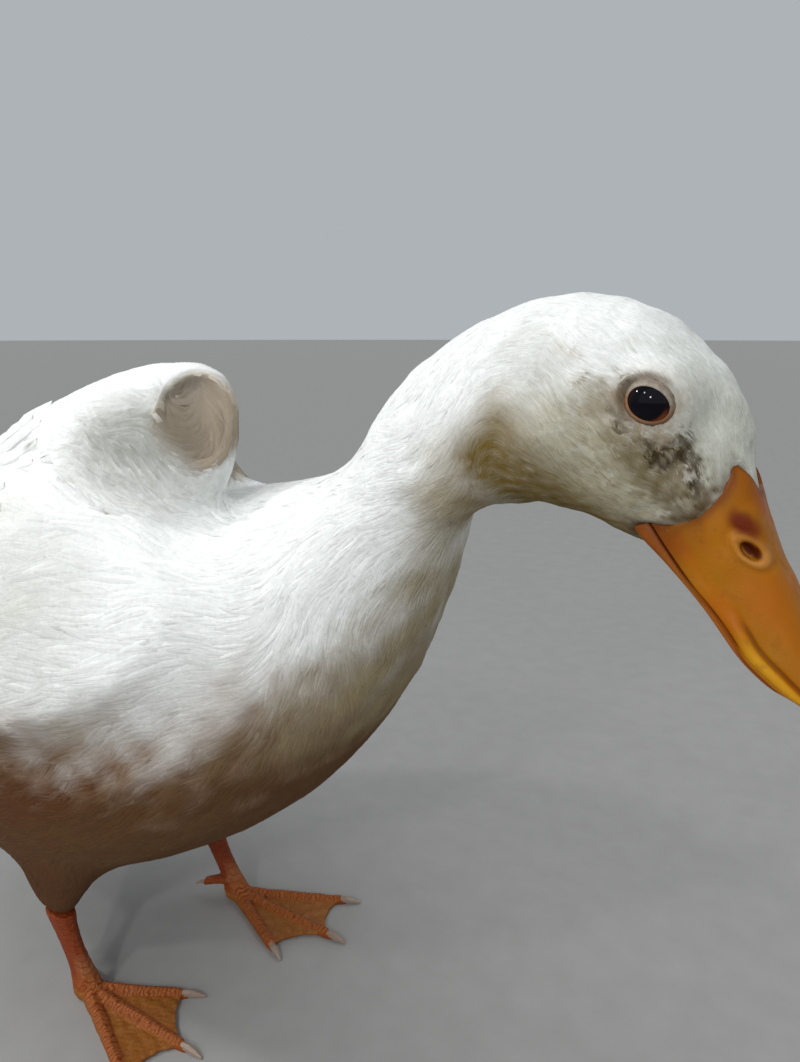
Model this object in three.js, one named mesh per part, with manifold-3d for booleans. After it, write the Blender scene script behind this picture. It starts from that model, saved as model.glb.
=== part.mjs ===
// A white domestic duck, life size, standing on both feet with its neck stretched forward,
// its bill pointed down and its folded wings lifted a little off its back.
// Millimetres, +X the way the duck faces, +Y its left side, +Z up, floor at z = 0.
import * as THREE from "three";
import { mergeVertices } from "three/addons/utils/BufferGeometryUtils.js";
import Module from "manifold-3d";

const wasm = await Module();
wasm.setup();

// Driving dimensions.
const GAP = 0.3; // clearance between neighbouring pieces
const STANCE = 42; // each foot's distance from the middle plane
const STRIDE = 16; // how far the left foot stands ahead of the right one
const HEAD_ASIDE = 22; // how far the head swings to the right of the middle plane
const SWING_FROM = 75; // the neck starts to swing aside at this x
const SWING_TO = 205; // and the head is straight again from this x
const BILL_PITCH = 43; // degrees that the bill points below level
const EYE_BALL = 7.6; // radius of an eyeball
const EYE_ASIDE = 15.8; // an eyeball's centre from the head's middle plane
const EYE_FORWARD = 1.9; // how far ahead of the head's middle it is
const EYE_UP = 4.1; // and above it
const TOE_HEIGHT = 6.4;
const TOE_WIDTH = 7.2;
const TOE_TAPER = 0.36; // how much thinner a toe is at its tip than at its base
const TOE_WAIST = 0.86; // its thickness between two joints, as a share of a joint's
const TOE_END = 0.55; // and at the tip
const CLAW = 8; // how far a front claw reaches past its toe
const WEB_THICK = 1.6;
const WEB_LIFT = 0.7; // the web stays this far off the ground
const WEB_REACH = 0.94; // it ends at this share of each toe
const WEB_DIP = 0.86; // and is drawn in to this share between two toes
const RIGHT = -1;
const LEFT = 1;

const P = (x, y, z) => new THREE.Vector3(x, y, z);
const radians = THREE.MathUtils.degToRad;

// ---- Solids ----

function solidOf(geometry) {
  const bare = geometry.index ? geometry.toNonIndexed() : geometry.clone();
  for (const name of Object.keys(bare.attributes)) {
    if (name !== "position") bare.deleteAttribute(name);
  }
  const merged = mergeVertices(bare, 1e-3);
  return new wasm.Manifold(
    new wasm.Mesh({
      numProp: 3,
      vertProperties: new Float32Array(merged.attributes.position.array),
      triVerts: new Uint32Array(merged.index.array),
    }),
  );
}

function geometryOf(solid) {
  const made = solid.getMesh();
  const stride = made.numProp;
  const places = new Float32Array(made.numVert * 3);
  for (let i = 0; i < made.numVert; i += 1) {
    places.set(made.vertProperties.subarray(i * stride, i * stride + 3), i * 3);
  }
  const geometry = new THREE.BufferGeometry();
  geometry.setAttribute("position", new THREE.BufferAttribute(places, 3));
  geometry.setIndex(new THREE.BufferAttribute(made.triVerts, 1));
  geometry.computeVertexNormals();
  return geometry;
}

// A body swept through sections. A section has its upper and its lower edge point and its half width.
// upright fixes the direction of the width. grow pushes the whole surface out, for cutting a
// neighbour with a clearance. fullness is the power of the section's outline, 2 for an ellipse.
function sweep(sections, { rings = 24, sides = 20, grow = 0, fullness = 2, upright = null } = {}) {
  const curve = (pick) => new THREE.CatmullRomCurve3(sections.map(pick), false, "centripetal");
  const upper = curve((s) => s.top);
  const lower = curve((s) => s.under);
  const widths = new THREE.SplineCurve(sections.map((s, i) => new THREE.Vector2(i, s.half)));
  const middle = (t) => upper.getPoint(t).add(lower.getPoint(t)).multiplyScalar(0.5);
  const step = 1e-3;
  const thinnest = 0.2;
  const round = (v) => Math.sign(v) * Math.abs(v) ** (2 / fullness);
  const points = [];
  const ends = [];
  for (let i = 0; i < rings; i += 1) {
    const t = i / (rings - 1);
    const centre = middle(t);
    const rise = upper.getPoint(t).sub(centre);
    const along = middle(Math.min(1, t + step)).sub(middle(Math.max(0, t - step))).normalize();
    const across = (upright ? upright.clone() : along.clone().cross(rise)).normalize();
    const half = Math.max(thinnest, widths.getPoint(t).y) + grow;
    const height = rise.length() + grow;
    rise.normalize();
    if (i === 0) centre.addScaledVector(along, -grow);
    if (i === rings - 1) centre.addScaledVector(along, grow);
    if (i === 0 || i === rings - 1) ends.push(centre);
    for (let j = 0; j < sides; j += 1) {
      const angle = (2 * Math.PI * j) / sides;
      const point = centre.clone();
      point.addScaledVector(rise, height * round(Math.cos(angle)));
      point.addScaledVector(across, half * round(Math.sin(angle)));
      points.push(point);
    }
  }
  const indices = [];
  const front = points.length;
  const back = front + 1;
  points.push(...ends);
  for (let j = 0; j < sides; j += 1) {
    const k = (j + 1) % sides;
    for (let i = 0; i < rings - 1; i += 1) {
      const [a, b] = [i * sides, (i + 1) * sides];
      indices.push(a + j, b + k, b + j, a + j, a + k, b + k);
    }
    const end = (rings - 1) * sides;
    indices.push(front, k, j, back, end + j, end + k);
  }
  const geometry = new THREE.BufferGeometry().setFromPoints(points);
  geometry.setIndex(indices);
  const made = solidOf(geometry);
  if (made.volume() > 0) return made;
  for (let i = 0; i < indices.length; i += 3) {
    [indices[i], indices[i + 1]] = [indices[i + 1], indices[i]];
  }
  geometry.setIndex(indices);
  return solidOf(geometry);
}

// The share of a solid that lies past point along normal, half a gap clear of the plane.
function past(solid, point, normal) {
  const size = 2000;
  const box = new THREE.BoxGeometry(size, size, size);
  const turn = new THREE.Quaternion().setFromUnitVectors(P(0, 0, 1), normal.clone().normalize());
  box.translate(0, 0, (size + GAP) / 2);
  box.applyQuaternion(turn).translate(point.x, point.y, point.z);
  return solid.intersect(solidOf(box));
}

function parted(solid, point, normal) {
  return [past(solid, point, normal), past(solid, point, normal.clone().negate())];
}

// ---- The materials and the scene graph ----

const finish = (color, roughness) => new THREE.MeshStandardMaterial({ color, roughness, metalness: 0 });
const FEATHER = finish(0xe9e6dd, 0.8);
const BILL = finish(0xd98a1c, 0.4);
const SCALY_SKIN = finish(0xd9701f, 0.55);
const CLAW_HORN = finish(0xb9a08a, 0.5);
const EYE = finish(0x1a1010, 0.1);

const duck = new THREE.Group();

function add(name, solid, material) {
  const mesh = new THREE.Mesh(geometryOf(solid), material);
  mesh.name = name;
  duck.add(mesh);
}

// ---- Trunk, neck and head, one swept body that is parted with thin cuts ----

function aside(x) {
  const share = THREE.MathUtils.clamp((x - SWING_FROM) / (SWING_TO - SWING_FROM), 0, 1);
  return -HEAD_ASIDE * share * share * (3 - 2 * share);
}

// The back's and the underside's points, each as x and z, and the half width.
function bodySection([topX, topZ], [underX, underZ], half) {
  const y = aside((topX + underX) / 2);
  return { top: P(topX, y, topZ), under: P(underX, y, underZ), half };
}

const BODY = [
  bodySection([-130, 90], [-124, 60], 17),
  bodySection([-114, 118], [-108, 49], 36),
  bodySection([-86, 155], [-78, 43], 56),
  bodySection([-45, 192], [-40, 47], 71),
  bodySection([0, 217], [5, 59], 78),
  bodySection([40, 232], [48, 82], 77),
  bodySection([68, 238], [87, 109], 69),
  bodySection([88, 242], [115, 140], 57),
  bodySection([105, 249], [136, 172], 43),
  bodySection([121, 262], [151, 203], 31),
  bodySection([138, 277], [160, 226.5], 25),
  bodySection([155, 290], [164, 239.5], 23),
  bodySection([173, 299.5], [180, 246], 23.2),
  bodySection([193, 305], [195, 248], 24),
  bodySection([214, 303.5], [206, 246], 23.3),
  bodySection([232.5, 292], [212.5, 243.5], 20),
  bodySection([243, 276.5], [216.5, 242], 15.5),
  bodySection([246, 264], [219.5, 241], 12),
];
const BODY_FORM = { rings: 34, sides: 20, fullness: 2.1, upright: P(0, 1, 0) };

const body = sweep(BODY, BODY_FORM);
const bodyCutter = sweep(BODY, { ...BODY_FORM, grow: GAP });

// The cut between two neighbours of BODY's sections, square to the body there.
function cutBetween(index) {
  const [a, b] = [BODY[index], BODY[index + 1]];
  const top = a.top.clone().add(b.top).multiplyScalar(0.5);
  const under = a.under.clone().add(b.under).multiplyScalar(0.5);
  const point = top.clone().add(under).multiplyScalar(0.5);
  const forward = P(top.z - under.z, 0, under.x - top.x);
  return [point, forward];
}

const RUMP_ENDS = 1;
const TRUNK_ENDS = 7;
const LOWER_NECK_ENDS = 10;
const UPPER_NECK_ENDS = 12;

// ---- Eyes ----

// A place in the head: forward along the bill, up to the crown and to the left, from its middle.
const BETWEEN_EYES = P(219, -HEAD_ASIDE, 277);
const ALONG_BILL = P(Math.cos(radians(BILL_PITCH)), 0, -Math.sin(radians(BILL_PITCH)));
const TO_CROWN = P(Math.sin(radians(BILL_PITCH)), 0, Math.cos(radians(BILL_PITCH)));

function inHead(forward, up, left = 0) {
  const point = BETWEEN_EYES.clone().addScaledVector(ALONG_BILL, forward);
  return point.addScaledVector(TO_CROWN, up).add(P(0, left, 0));
}

function eyeBall(side, radius) {
  const ball = new THREE.SphereGeometry(radius, 12, 9);
  ball.rotateX(Math.PI / 2);
  const centre = inHead(EYE_FORWARD, EYE_UP, side * EYE_ASIDE);
  return solidOf(ball.translate(centre.x, centre.y, centre.z));
}

let flesh = body;
for (const side of [RIGHT, LEFT]) {
  flesh = flesh.subtract(eyeBall(side, EYE_BALL + GAP));
  add(side === RIGHT ? "eye_right" : "eye_left", eyeBall(side, EYE_BALL), EYE);
}

const [head, belowHead] = parted(flesh, ...cutBetween(UPPER_NECK_ENDS));
const [upperNeck, belowUpperNeck] = parted(belowHead, ...cutBetween(LOWER_NECK_ENDS));
const [lowerNeck, belowLowerNeck] = parted(belowUpperNeck, ...cutBetween(TRUNK_ENDS));
const [trunk, rump] = parted(belowLowerNeck, ...cutBetween(RUMP_ENDS));
add("head", head, FEATHER);
add("neck_upper", upperNeck, FEATHER);
add("neck_lower", lowerNeck, FEATHER);
add("trunk", trunk, FEATHER);
add("rump", rump, FEATHER);

// ---- Bill ----

const billSection = (forward, top, under, half) => ({
  top: inHead(forward, top),
  under: inHead(forward, under),
  half,
});

const UPPER_BILL = [
  billSection(16, 5, -17.2, 10),
  billSection(30, 6, -19.2, 12.8),
  billSection(42, 0.4, -20.4, 13.2),
  billSection(54, -4.4, -21.8, 13.8),
  billSection(63, -7.4, -23, 14.4),
  billSection(72, -10.4, -22, 14.7),
  billSection(82, -13.2, -20, 14.3),
  billSection(90, -15.4, -19.2, 11.8),
  billSection(95, -17.4, -19.4, 6),
  billSection(96.5, -18.2, -19.3, 1.5),
];

const LOWER_BILL = [
  billSection(18, -17, -23.4, 10.5),
  billSection(30, -18.2, -23.2, 12),
  billSection(44, -19.6, -23.4, 12.6),
  billSection(57, -21.2, -25.2, 13.2),
  billSection(65, -22, -26.2, 13.4),
  billSection(74, -20.8, -25, 13.4),
  billSection(82, -19.2, -22.2, 12),
  billSection(88, -18.6, -21, 9.6),
  billSection(93, -18.7, -20.4, 4),
];

const BILL_FORM = { rings: 14, sides: 14, fullness: 2.7, upright: P(0, 1, 0) };
const upperBill = sweep(UPPER_BILL, BILL_FORM);
const upperBillCutter = sweep(UPPER_BILL, { ...BILL_FORM, grow: GAP });
const lowerBill = sweep(LOWER_BILL, BILL_FORM);
add("bill_upper", upperBill.subtract(bodyCutter), BILL);
add("bill_lower", lowerBill.subtract(bodyCutter).subtract(upperBillCutter), BILL);

// ---- Wings, folded and lifted, over the long side feathers ----

// A section of a wing: its upper and its lower edge, each as x, distance from the middle, and z.
const wingSection = (top, under, half) => ({ top: P(...top), under: P(...under), half });

// From the curled leading edge at the front to the tips of the longest flight feathers.
const WING = [
  wingSection([80, 24, 268], [81, 29, 252], 4),
  wingSection([74, 19, 280], [79, 36, 238], 11),
  wingSection([57, 15, 285.5], [64, 44, 226], 15),
  wingSection([30, 14, 283], [34, 46, 220], 16),
  wingSection([0, 14, 275], [3, 44, 216], 14),
  wingSection([-30, 14, 264], [-28, 42, 210], 12),
  wingSection([-62, 14, 247], [-62, 39, 196], 9),
  wingSection([-98, 14, 224], [-101, 36, 176], 6),
  wingSection([-136, 14, 195], [-140, 30, 157], 4),
  wingSection([-170, 13, 168], [-173, 23, 142], 2.6),
  wingSection([-198, 12, 146], [-200, 16, 134], 1.4),
];
const FLIGHT_FEATHERS_START = P(-34, 0, 230);

// The long feathers of the shoulder and the flank, which the wing's lower edge is tucked behind.
const SIDE = [
  wingSection([90, 49, 215], [92, 61, 197], 4),
  wingSection([77, 50, 222], [83, 70, 184], 9),
  wingSection([46, 49, 234], [54, 79, 166], 13),
  wingSection([8, 49, 246], [16, 83, 150], 14),
  wingSection([-32, 47, 245], [-28, 80, 138], 13),
  wingSection([-68, 43, 219], [-68, 70, 125], 10),
  wingSection([-102, 38, 188], [-104, 57, 114], 7),
  wingSection([-132, 32, 156], [-136, 44, 109], 4),
  wingSection([-155, 26, 133], [-158, 32, 113], 1.6),
];

// The left wing's bend is carried lower and further back than the right one's, its tip is not.
const LEFT_WING_DROP = P(-34, 0, -36);
const WING_BEND_X = WING[0].top.x;
const WING_TIP_X = WING[WING.length - 1].top.x;

function onSide(point, side) {
  return point.clone().multiply(P(1, side, 1));
}

function carried(point, side) {
  const share = side === LEFT ? (point.x - WING_TIP_X) / (WING_BEND_X - WING_TIP_X) : 0;
  return onSide(point, side).addScaledVector(LEFT_WING_DROP, share);
}

// The side feathers follow half of that.
function followed(point, side) {
  return onSide(point, side).add(carried(point, side)).multiplyScalar(0.5);
}

function placed(sections, place, side) {
  return sections.map(({ top, under, half }) => ({ top: place(top, side), under: place(under, side), half }));
}

// ---- Tail, a fan of stiff feathers ----

const tailSection = (x, top, under, half) => ({ top: P(x, 0, top), under: P(x, 0, under), half });

const TAIL = [
  tailSection(-106, 108, 62, 18),
  tailSection(-128, 103, 66, 26),
  tailSection(-152, 103, 83, 33),
  tailSection(-182, 109, 99, 37),
  tailSection(-206, 117, 112.5, 36),
  tailSection(-218, 121, 118.5, 28),
  tailSection(-224, 122.5, 121.5, 10),
];
add("tail", sweep(TAIL, { rings: 10, sides: 14, upright: P(0, 1, 0) }).subtract(bodyCutter), FEATHER);

// ---- Legs ----

// A section of a leg: its front and its back edge, each as x and z, and the half width.
const legSection = (front, back, half) => ({ front, back, half });

const THIGH = [
  legSection([32, 98], [-34, 108], 23),
  legSection([11, 74], [-40, 83], 18),
  legSection([-4, 55], [-41, 62], 11.5),
  legSection([-13, 43], [-36, 47], 7.4),
  legSection([-16, 39], [-33, 42], 5.4),
];
const SHANK = [
  legSection([-14.5, 52], [-29.5, 50], 4.4),
  legSection([-15, 44], [-31, 39], 5.6),
  legSection([-15, 36], [-27, 30], 4.4),
  legSection([-12.5, 26], [-22, 20], 3.8),
  legSection([-8.5, 17], [-17.5, 10.5], 4.3),
  legSection([-5, 10], [-15, -1], 6),
  legSection([-1, 5], [-8, -1], 5),
];
const THIGH_TOP = 100;
const ANKLE = P(-14, 0, 13);
const DOWN_SHANK = P(0.36, 0, -0.93);
const UP_SHANK = DOWN_SHANK.clone().negate();

// A leg's upper end stays under the trunk while its foot steps forward.
function standing(sections, side, stride) {
  const place = ([x, z]) => {
    const share = THREE.MathUtils.clamp(1 - z / THIGH_TOP, 0, 1) ** 0.5;
    return P(x + stride * share, side * STANCE, z);
  };
  return sections.map(({ front, back, half }) => ({ top: place(front), under: place(back), half }));
}

// Each front toe: its length without the claw, its turn away from the middle toe, and its joints.
const TOES = [
  { name: "inner", length: 47, turn: -27, joints: [0.5] },
  { name: "middle", length: 62, turn: 0, joints: [0.42, 0.72] },
  { name: "outer", length: 59, turn: 25, joints: [0.36, 0.6, 0.8] },
];
const TOES_START_X = -10;

function toe(length, joints) {
  const knots = [0, 0.16, ...joints, 0.94];
  const sections = [];
  const put = (share, swell) => {
    const size = (1 - TOE_TAPER * share) * swell;
    sections.push({
      top: P(share * length, 0, TOE_HEIGHT * size),
      under: P(share * length, 0, -1),
      half: (TOE_WIDTH / 2) * size,
    });
  };
  knots.forEach((share, i) => {
    put(share, 1);
    if (i > 0 && i < knots.length - 1) put((share + knots[i + 1]) / 2, TOE_WAIST);
  });
  put(1, TOE_END);
  return sweep(sections, { rings: 2 * knots.length - 2, sides: 6 });
}

const clawSections = (reach) => [
  { top: P(-3, 0, 3.4), under: P(-3, 0, 0.7), half: 1.4 },
  { top: P(1, 0, 3.9), under: P(1, 0, 0.6), half: 1.7 },
  { top: P(reach * 0.5, 0, 3), under: P(reach * 0.5, 0, 0.5), half: 1.3 },
  { top: P(reach, 0, 1.3), under: P(reach, 0, 0.4), half: 0.5 },
];
const claw = (reach) => sweep(clawSections(reach), { rings: 4, sides: 6 });

const toward = (side, toeTurn, reach) => {
  const angle = radians(side * toeTurn);
  return new THREE.Vector2(Math.cos(angle), Math.sin(angle)).multiplyScalar(reach);
};

// The web between the toes, its front edge drawn in between each two tips.
function web(side) {
  const reach = (item) => toward(side, item.turn, item.length * WEB_REACH);
  const [inner, middle, outer] = TOES.map(reach);
  const drawnIn = (a, b) => a.clone().add(b).multiplyScalar(WEB_DIP / 2);
  const innerDip = drawnIn(inner, middle);
  const outerDip = drawnIn(middle, outer);
  const outline = new THREE.Shape();
  outline.moveTo(-1, 0);
  outline.lineTo(inner.x, inner.y);
  outline.quadraticCurveTo(innerDip.x, innerDip.y, middle.x, middle.y);
  outline.quadraticCurveTo(outerDip.x, outerDip.y, outer.x, outer.y);
  outline.lineTo(-1, 0);
  const plate = new THREE.ExtrudeGeometry(outline, {
    depth: WEB_THICK,
    bevelEnabled: false,
    curveSegments: 3,
  });
  return solidOf(plate.translate(0, 0, WEB_LIFT));
}

// The short hind toe, on the inner side of the ankle, clear of the ground.
const HIND_TOE = [
  { top: P(-2, -3, 15), under: P(-4, -3, 9), half: 2.6 },
  { top: P(-9, -5, 13), under: P(-10, -5, 8), half: 2.4 },
  { top: P(-16, -6.5, 10), under: P(-16.5, -6.5, 5.6), half: 2.3 },
];
const HIND_CLAW = [
  { top: P(-14, -6.2, 9.4), under: P(-14, -6.2, 6.8), half: 1.1 },
  { top: P(-18, -7, 8.4), under: P(-18, -7, 5.9), half: 1.1 },
  { top: P(-22, -7.6, 5.4), under: P(-22, -7.6, 4.2), half: 0.5 },
];

// ---- Both sides ----

for (const side of [RIGHT, LEFT]) {
  const name = side === RIGHT ? "right" : "left";
  const stride = side === LEFT ? STRIDE : 0;

  const wingForm = { rings: 16, sides: 12 };
  const wingSections = placed(WING, carried, side);
  const wing = sweep(wingSections, wingForm).subtract(bodyCutter);
  const [arm, flight] = parted(wing, carried(FLIGHT_FEATHERS_START, side), P(1, 0, 0));
  add("wing_" + name, arm, FEATHER);
  add("flight_feathers_" + name, flight, FEATHER);
  const wingCutter = sweep(wingSections, { ...wingForm, grow: GAP });
  const sideFeathers = sweep(placed(SIDE, followed, side), { rings: 12, sides: 12 });
  add("side_feathers_" + name, sideFeathers.subtract(bodyCutter).subtract(wingCutter), FEATHER);

  const thighSections = standing(THIGH, side, stride);
  const thighForm = { rings: 8, sides: 14 };
  add("thigh_" + name, sweep(thighSections, thighForm).subtract(bodyCutter), FEATHER);
  const thighCutter = sweep(thighSections, { ...thighForm, grow: GAP });

  const shankSections = standing(SHANK, side, stride);
  const shankForm = { rings: 12, sides: 10 };
  const leg = sweep(shankSections, shankForm).subtract(thighCutter).subtract(bodyCutter);
  const ankleCut = ANKLE.clone().add(P(stride, 0, 0));
  const [ankle, shank] = parted(leg, ankleCut, DOWN_SHANK);
  const shankCutter = past(sweep(shankSections, { ...shankForm, grow: GAP }), ankleCut, UP_SHANK);
  const base = P(TOES_START_X + stride, side * STANCE, 0);
  add("shank_" + name, shank, SCALY_SKIN);

  const put = (solid, toeTurn = 0) => solid.rotate([0, 0, side * toeTurn]).translate([base.x, base.y, 0]);
  const hindToe = sweep(placed(HIND_TOE, onSide, side), { rings: 5, sides: 8 });
  let foot = ankle.add(put(web(side))).add(put(hindToe));
  for (const { length, turn, joints } of TOES) {
    foot = foot.add(put(toe(length, joints), turn));
  }
  foot = past(foot, P(0, 0, -GAP / 2), P(0, 0, 1)).subtract(shankCutter);
  const claws = TOES.map((item) => {
    const along = claw(CLAW).translate([item.length, 0, 0]);
    return [item.name, put(along, item.turn)];
  });
  claws.push(["hind", put(sweep(placed(HIND_CLAW, onSide, side), { rings: 4, sides: 6 }))]);
  for (const [toeName, solid] of claws) {
    foot = foot.subtract(solid);
    add("claw_" + name + "_" + toeName, solid, CLAW_HORN);
  }
  add("foot_" + name, foot, SCALY_SKIN);
}

// The origin is on the floor, under the middle of the whole duck.
const middle = new THREE.Box3().setFromObject(duck).getCenter(P(0, 0, 0));
duck.position.set(-middle.x, -middle.y, 0);

export default duck;
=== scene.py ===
import math

import bpy
import numpy as np
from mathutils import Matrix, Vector
from mathutils.bvhtree import BVHTree
from mathutils.kdtree import KDTree


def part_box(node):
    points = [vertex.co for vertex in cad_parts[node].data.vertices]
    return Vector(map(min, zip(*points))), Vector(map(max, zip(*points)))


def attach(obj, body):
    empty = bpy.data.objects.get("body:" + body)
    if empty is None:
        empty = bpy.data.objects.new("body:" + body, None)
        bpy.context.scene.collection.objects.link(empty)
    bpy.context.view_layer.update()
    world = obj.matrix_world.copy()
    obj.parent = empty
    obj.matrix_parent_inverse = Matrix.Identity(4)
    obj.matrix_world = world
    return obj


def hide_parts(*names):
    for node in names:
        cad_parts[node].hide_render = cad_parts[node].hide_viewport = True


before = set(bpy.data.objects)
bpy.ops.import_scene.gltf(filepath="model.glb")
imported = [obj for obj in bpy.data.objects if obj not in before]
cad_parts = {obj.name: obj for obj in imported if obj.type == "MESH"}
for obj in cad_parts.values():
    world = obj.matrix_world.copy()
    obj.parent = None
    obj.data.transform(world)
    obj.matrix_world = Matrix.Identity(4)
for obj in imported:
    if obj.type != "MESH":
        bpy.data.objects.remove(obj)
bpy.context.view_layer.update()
MM = 0.001

# ---- The camera ----
# It stands close in front of the duck's right shoulder, level with the head, and looks a little
# down past the head to the trunk. Its place is measured from the point between the eyes.


def middle_of(node):
    low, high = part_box(node)
    return (low + high) / 2


between_eyes = (middle_of("eye_right") + middle_of("eye_left")) / 2
AZIMUTH = math.radians(30)
ELEVATION = math.radians(14)
CAMERA_FROM_EYES = Vector((0.04381, -0.213, 0.0163))
LENS = 27.12
FILM_WIDTH = 36
bpy.ops.object.select_all(action="DESELECT")
bpy.ops.object.camera_add(
    location=between_eyes + CAMERA_FROM_EYES,
    rotation=(math.pi / 2 - ELEVATION, 0, AZIMUTH),
)
camera = bpy.context.object
camera.name = "camera"
camera.data.lens = LENS
camera.data.sensor_width = FILM_WIDTH
camera.data.clip_start = 0.01
bpy.context.scene.camera = camera

# ---- The floor and the light ----
# A plain pale floor, a soft light overhead, a softer one from the duck's right, and a surrounding
# light of a pale sky's colour. Three small lamps give the eye its points of light.


class Socket:
    """The number, colour or vector that a node gives. Arithmetic on a number adds Math nodes."""

    def __init__(self, tree, socket):
        self.tree = tree
        self.socket = socket

    def maths(self, operation, *values):
        node = self.tree.nodes.new("ShaderNodeMath")
        node.operation = operation
        for place, value in zip(node.inputs, values):
            connect(self.tree, value, place)
        return Socket(self.tree, node.outputs[0])

    def __add__(self, other):
        return self.maths("ADD", self, other)

    def __sub__(self, other):
        return self.maths("SUBTRACT", self, other)

    def __mul__(self, other):
        return self.maths("MULTIPLY", self, other)

    def __truediv__(self, other):
        return self.maths("DIVIDE", self, other)

    def __abs__(self):
        return self.maths("ABSOLUTE", self)

    def clamped(self):
        node = self.tree.nodes.new("ShaderNodeClamp")
        connect(self.tree, self, node.inputs[0])
        return Socket(self.tree, node.outputs[0])


def connect(tree, value, place):
    if isinstance(value, Socket):
        tree.links.new(value.socket, place)
    else:
        place.default_value = value


class Finish:
    """One material, with a Principled shader whose sockets are set by name."""

    def __init__(self, name, **even):
        self.material = bpy.data.materials.new(name)
        self.material.use_nodes = True
        self.tree = self.material.node_tree
        self.shader = self.tree.nodes["Principled BSDF"]
        self.set(**even)

    def set(self, **values):
        for name, value in values.items():
            connect(self.tree, value, self.shader.inputs[name.replace("_", " ")])

    def node(self, kind, output=0, settings=(), **sockets):
        node = self.tree.nodes.new("ShaderNode" + kind)
        for name, value in dict(settings).items():
            setattr(node, name, value)
        for name, value in sockets.items():
            key = int(name[1:]) if name[1:].isdigit() else name.replace("_", " ")
            connect(self.tree, value, node.inputs[key])
        return Socket(self.tree, node.outputs[output])

    def place(self):
        return self.node("TexCoord", 3)

    def part(self, vector, axis):
        return self.node("SeparateXYZ", "XYZ".index(axis), Vector=vector)

    def mixed(self, share, first, second):
        colours = {"data_type": "RGBA"}
        return self.node("Mix", 2, colours, i0=share, i6=first, i7=second)

    def noise(self, vector, scale, detail=3.0, rough=0.5, stretch=None):
        if stretch:
            vector = self.node("Mapping", 0, i0=vector, Scale=stretch)
        return self.node("TexNoise", 0, Vector=vector, Scale=scale, Detail=detail, Roughness=rough)

    def band(self, value, low, high, bottom=0.0, top=1.0):
        smooth = {"interpolation_type": "SMOOTHSTEP"}
        return self.node("MapRange", 0, smooth, i0=value, i1=low, i2=high, i3=bottom, i4=top)

    def bump(self, height, strength, depth):
        self.set(Normal=self.node("Bump", 0, Height=height, Strength=strength, Distance=depth))


FLOOR_RADIUS = 30
FLOOR_TONES = ((0.30, 0.295, 0.285, 1), (0.36, 0.355, 0.345, 1))
# Each soft light: the way to it, how far it spreads in degrees, and its strength.
SOFT_LIGHTS = {
    "key_light": ((0.0, 0.1, 1.0), 60, 0.78),
    "fill_light": ((0.1, -1.0, 0.1), 100, 1.16),
}
# Each small lamp: its place from the point between the eyes, and its watts.
CATCHLIGHTS = (
    ((-0.559, -0.253, 0.359), 1.3),
    ((-0.024, -0.675, 0.255), 1.1),
    ((-0.31, -0.55, 0.42), 0.8),
)
LAMP_WIDTH = 0.06
SKY = (0.80, 0.85, 0.90, 1)
SKY_STRENGTH = 0.53
bpy.ops.object.select_all(action="DESELECT")
bpy.ops.mesh.primitive_circle_add(vertices=96, radius=FLOOR_RADIUS, fill_type="NGON")
floor = bpy.context.object
floor.name = "floor"
floor_paint = Finish("pale_floor", Roughness=0.75)
speckle = floor_paint.noise(floor_paint.place(), 60.0, 5.0)
floor_paint.set(Base_Color=floor_paint.mixed(speckle, *FLOOR_TONES))
floor.data.materials.append(floor_paint.material)

for name, (towards, spread, energy) in SOFT_LIGHTS.items():
    bpy.ops.object.select_all(action="DESELECT")
    bpy.ops.object.light_add(type="SUN", location=Vector(towards) * 2)
    lamp = bpy.context.object
    lamp.name = name
    lamp.rotation_euler = Vector(towards).to_track_quat("Z", "Y").to_euler()
    lamp.data.angle = math.radians(spread)
    lamp.data.energy = energy
    lamp.data.color = (1.0, 0.99, 0.97)
for number, (place, watts) in enumerate(CATCHLIGHTS):
    bpy.ops.object.select_all(action="DESELECT")
    bpy.ops.object.light_add(type="AREA", location=between_eyes + Vector(place))
    small = bpy.context.object
    small.name = f"catchlight_{number + 1}"
    small.rotation_euler = Vector(place).to_track_quat("Z", "Y").to_euler()
    small.data.shape = "DISK"
    small.data.size = LAMP_WIDTH
    small.data.energy = watts
world = bpy.data.worlds.new("studio")
world.use_nodes = True
sky = world.node_tree.nodes["Background"]
sky.inputs["Color"].default_value = SKY
sky.inputs["Strength"].default_value = SKY_STRENGTH
bpy.context.scene.world = world
bpy.context.scene.view_settings.view_transform = "Standard"

# ---- The skin ----
# One closed skin for the head, neck, trunk, rump, thighs and the flesh of the wings, with the
# places of the side feathers. Each solid is copied, and the copies are fused and smoothed, so
# no cut shows. Then it is drawn in by the coat's depth.

EYES = ("eye_right", "eye_left")
BODY = ("head", "neck_upper", "neck_lower", "trunk", "rump")
LIMBS = ("thigh_right", "thigh_left")
FOLDED = ("side_feathers_right", "side_feathers_left", "wing_right", "wing_left")
FLESH = BODY + LIMBS + FOLDED
VOXEL = 2.0 * MM
GAP_CLOSED = 0.3 * MM
SMOOTHING = 26


def pick(piece):
    bpy.ops.object.select_all(action="DESELECT")
    piece.select_set(True)
    bpy.context.view_layer.objects.active = piece


def edit_all(piece, operator, **settings):
    """Runs an edit mode operator on the whole of a piece."""
    pick(piece)
    bpy.ops.object.mode_set(mode="EDIT")
    bpy.ops.mesh.select_all(action="SELECT")
    operator(**settings)
    bpy.ops.object.mode_set(mode="OBJECT")


def join(pieces):
    pick(pieces[0])
    for piece in pieces:
        piece.select_set(True)
    if len(pieces) > 1:
        bpy.ops.object.join()
    return pieces[0]


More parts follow.
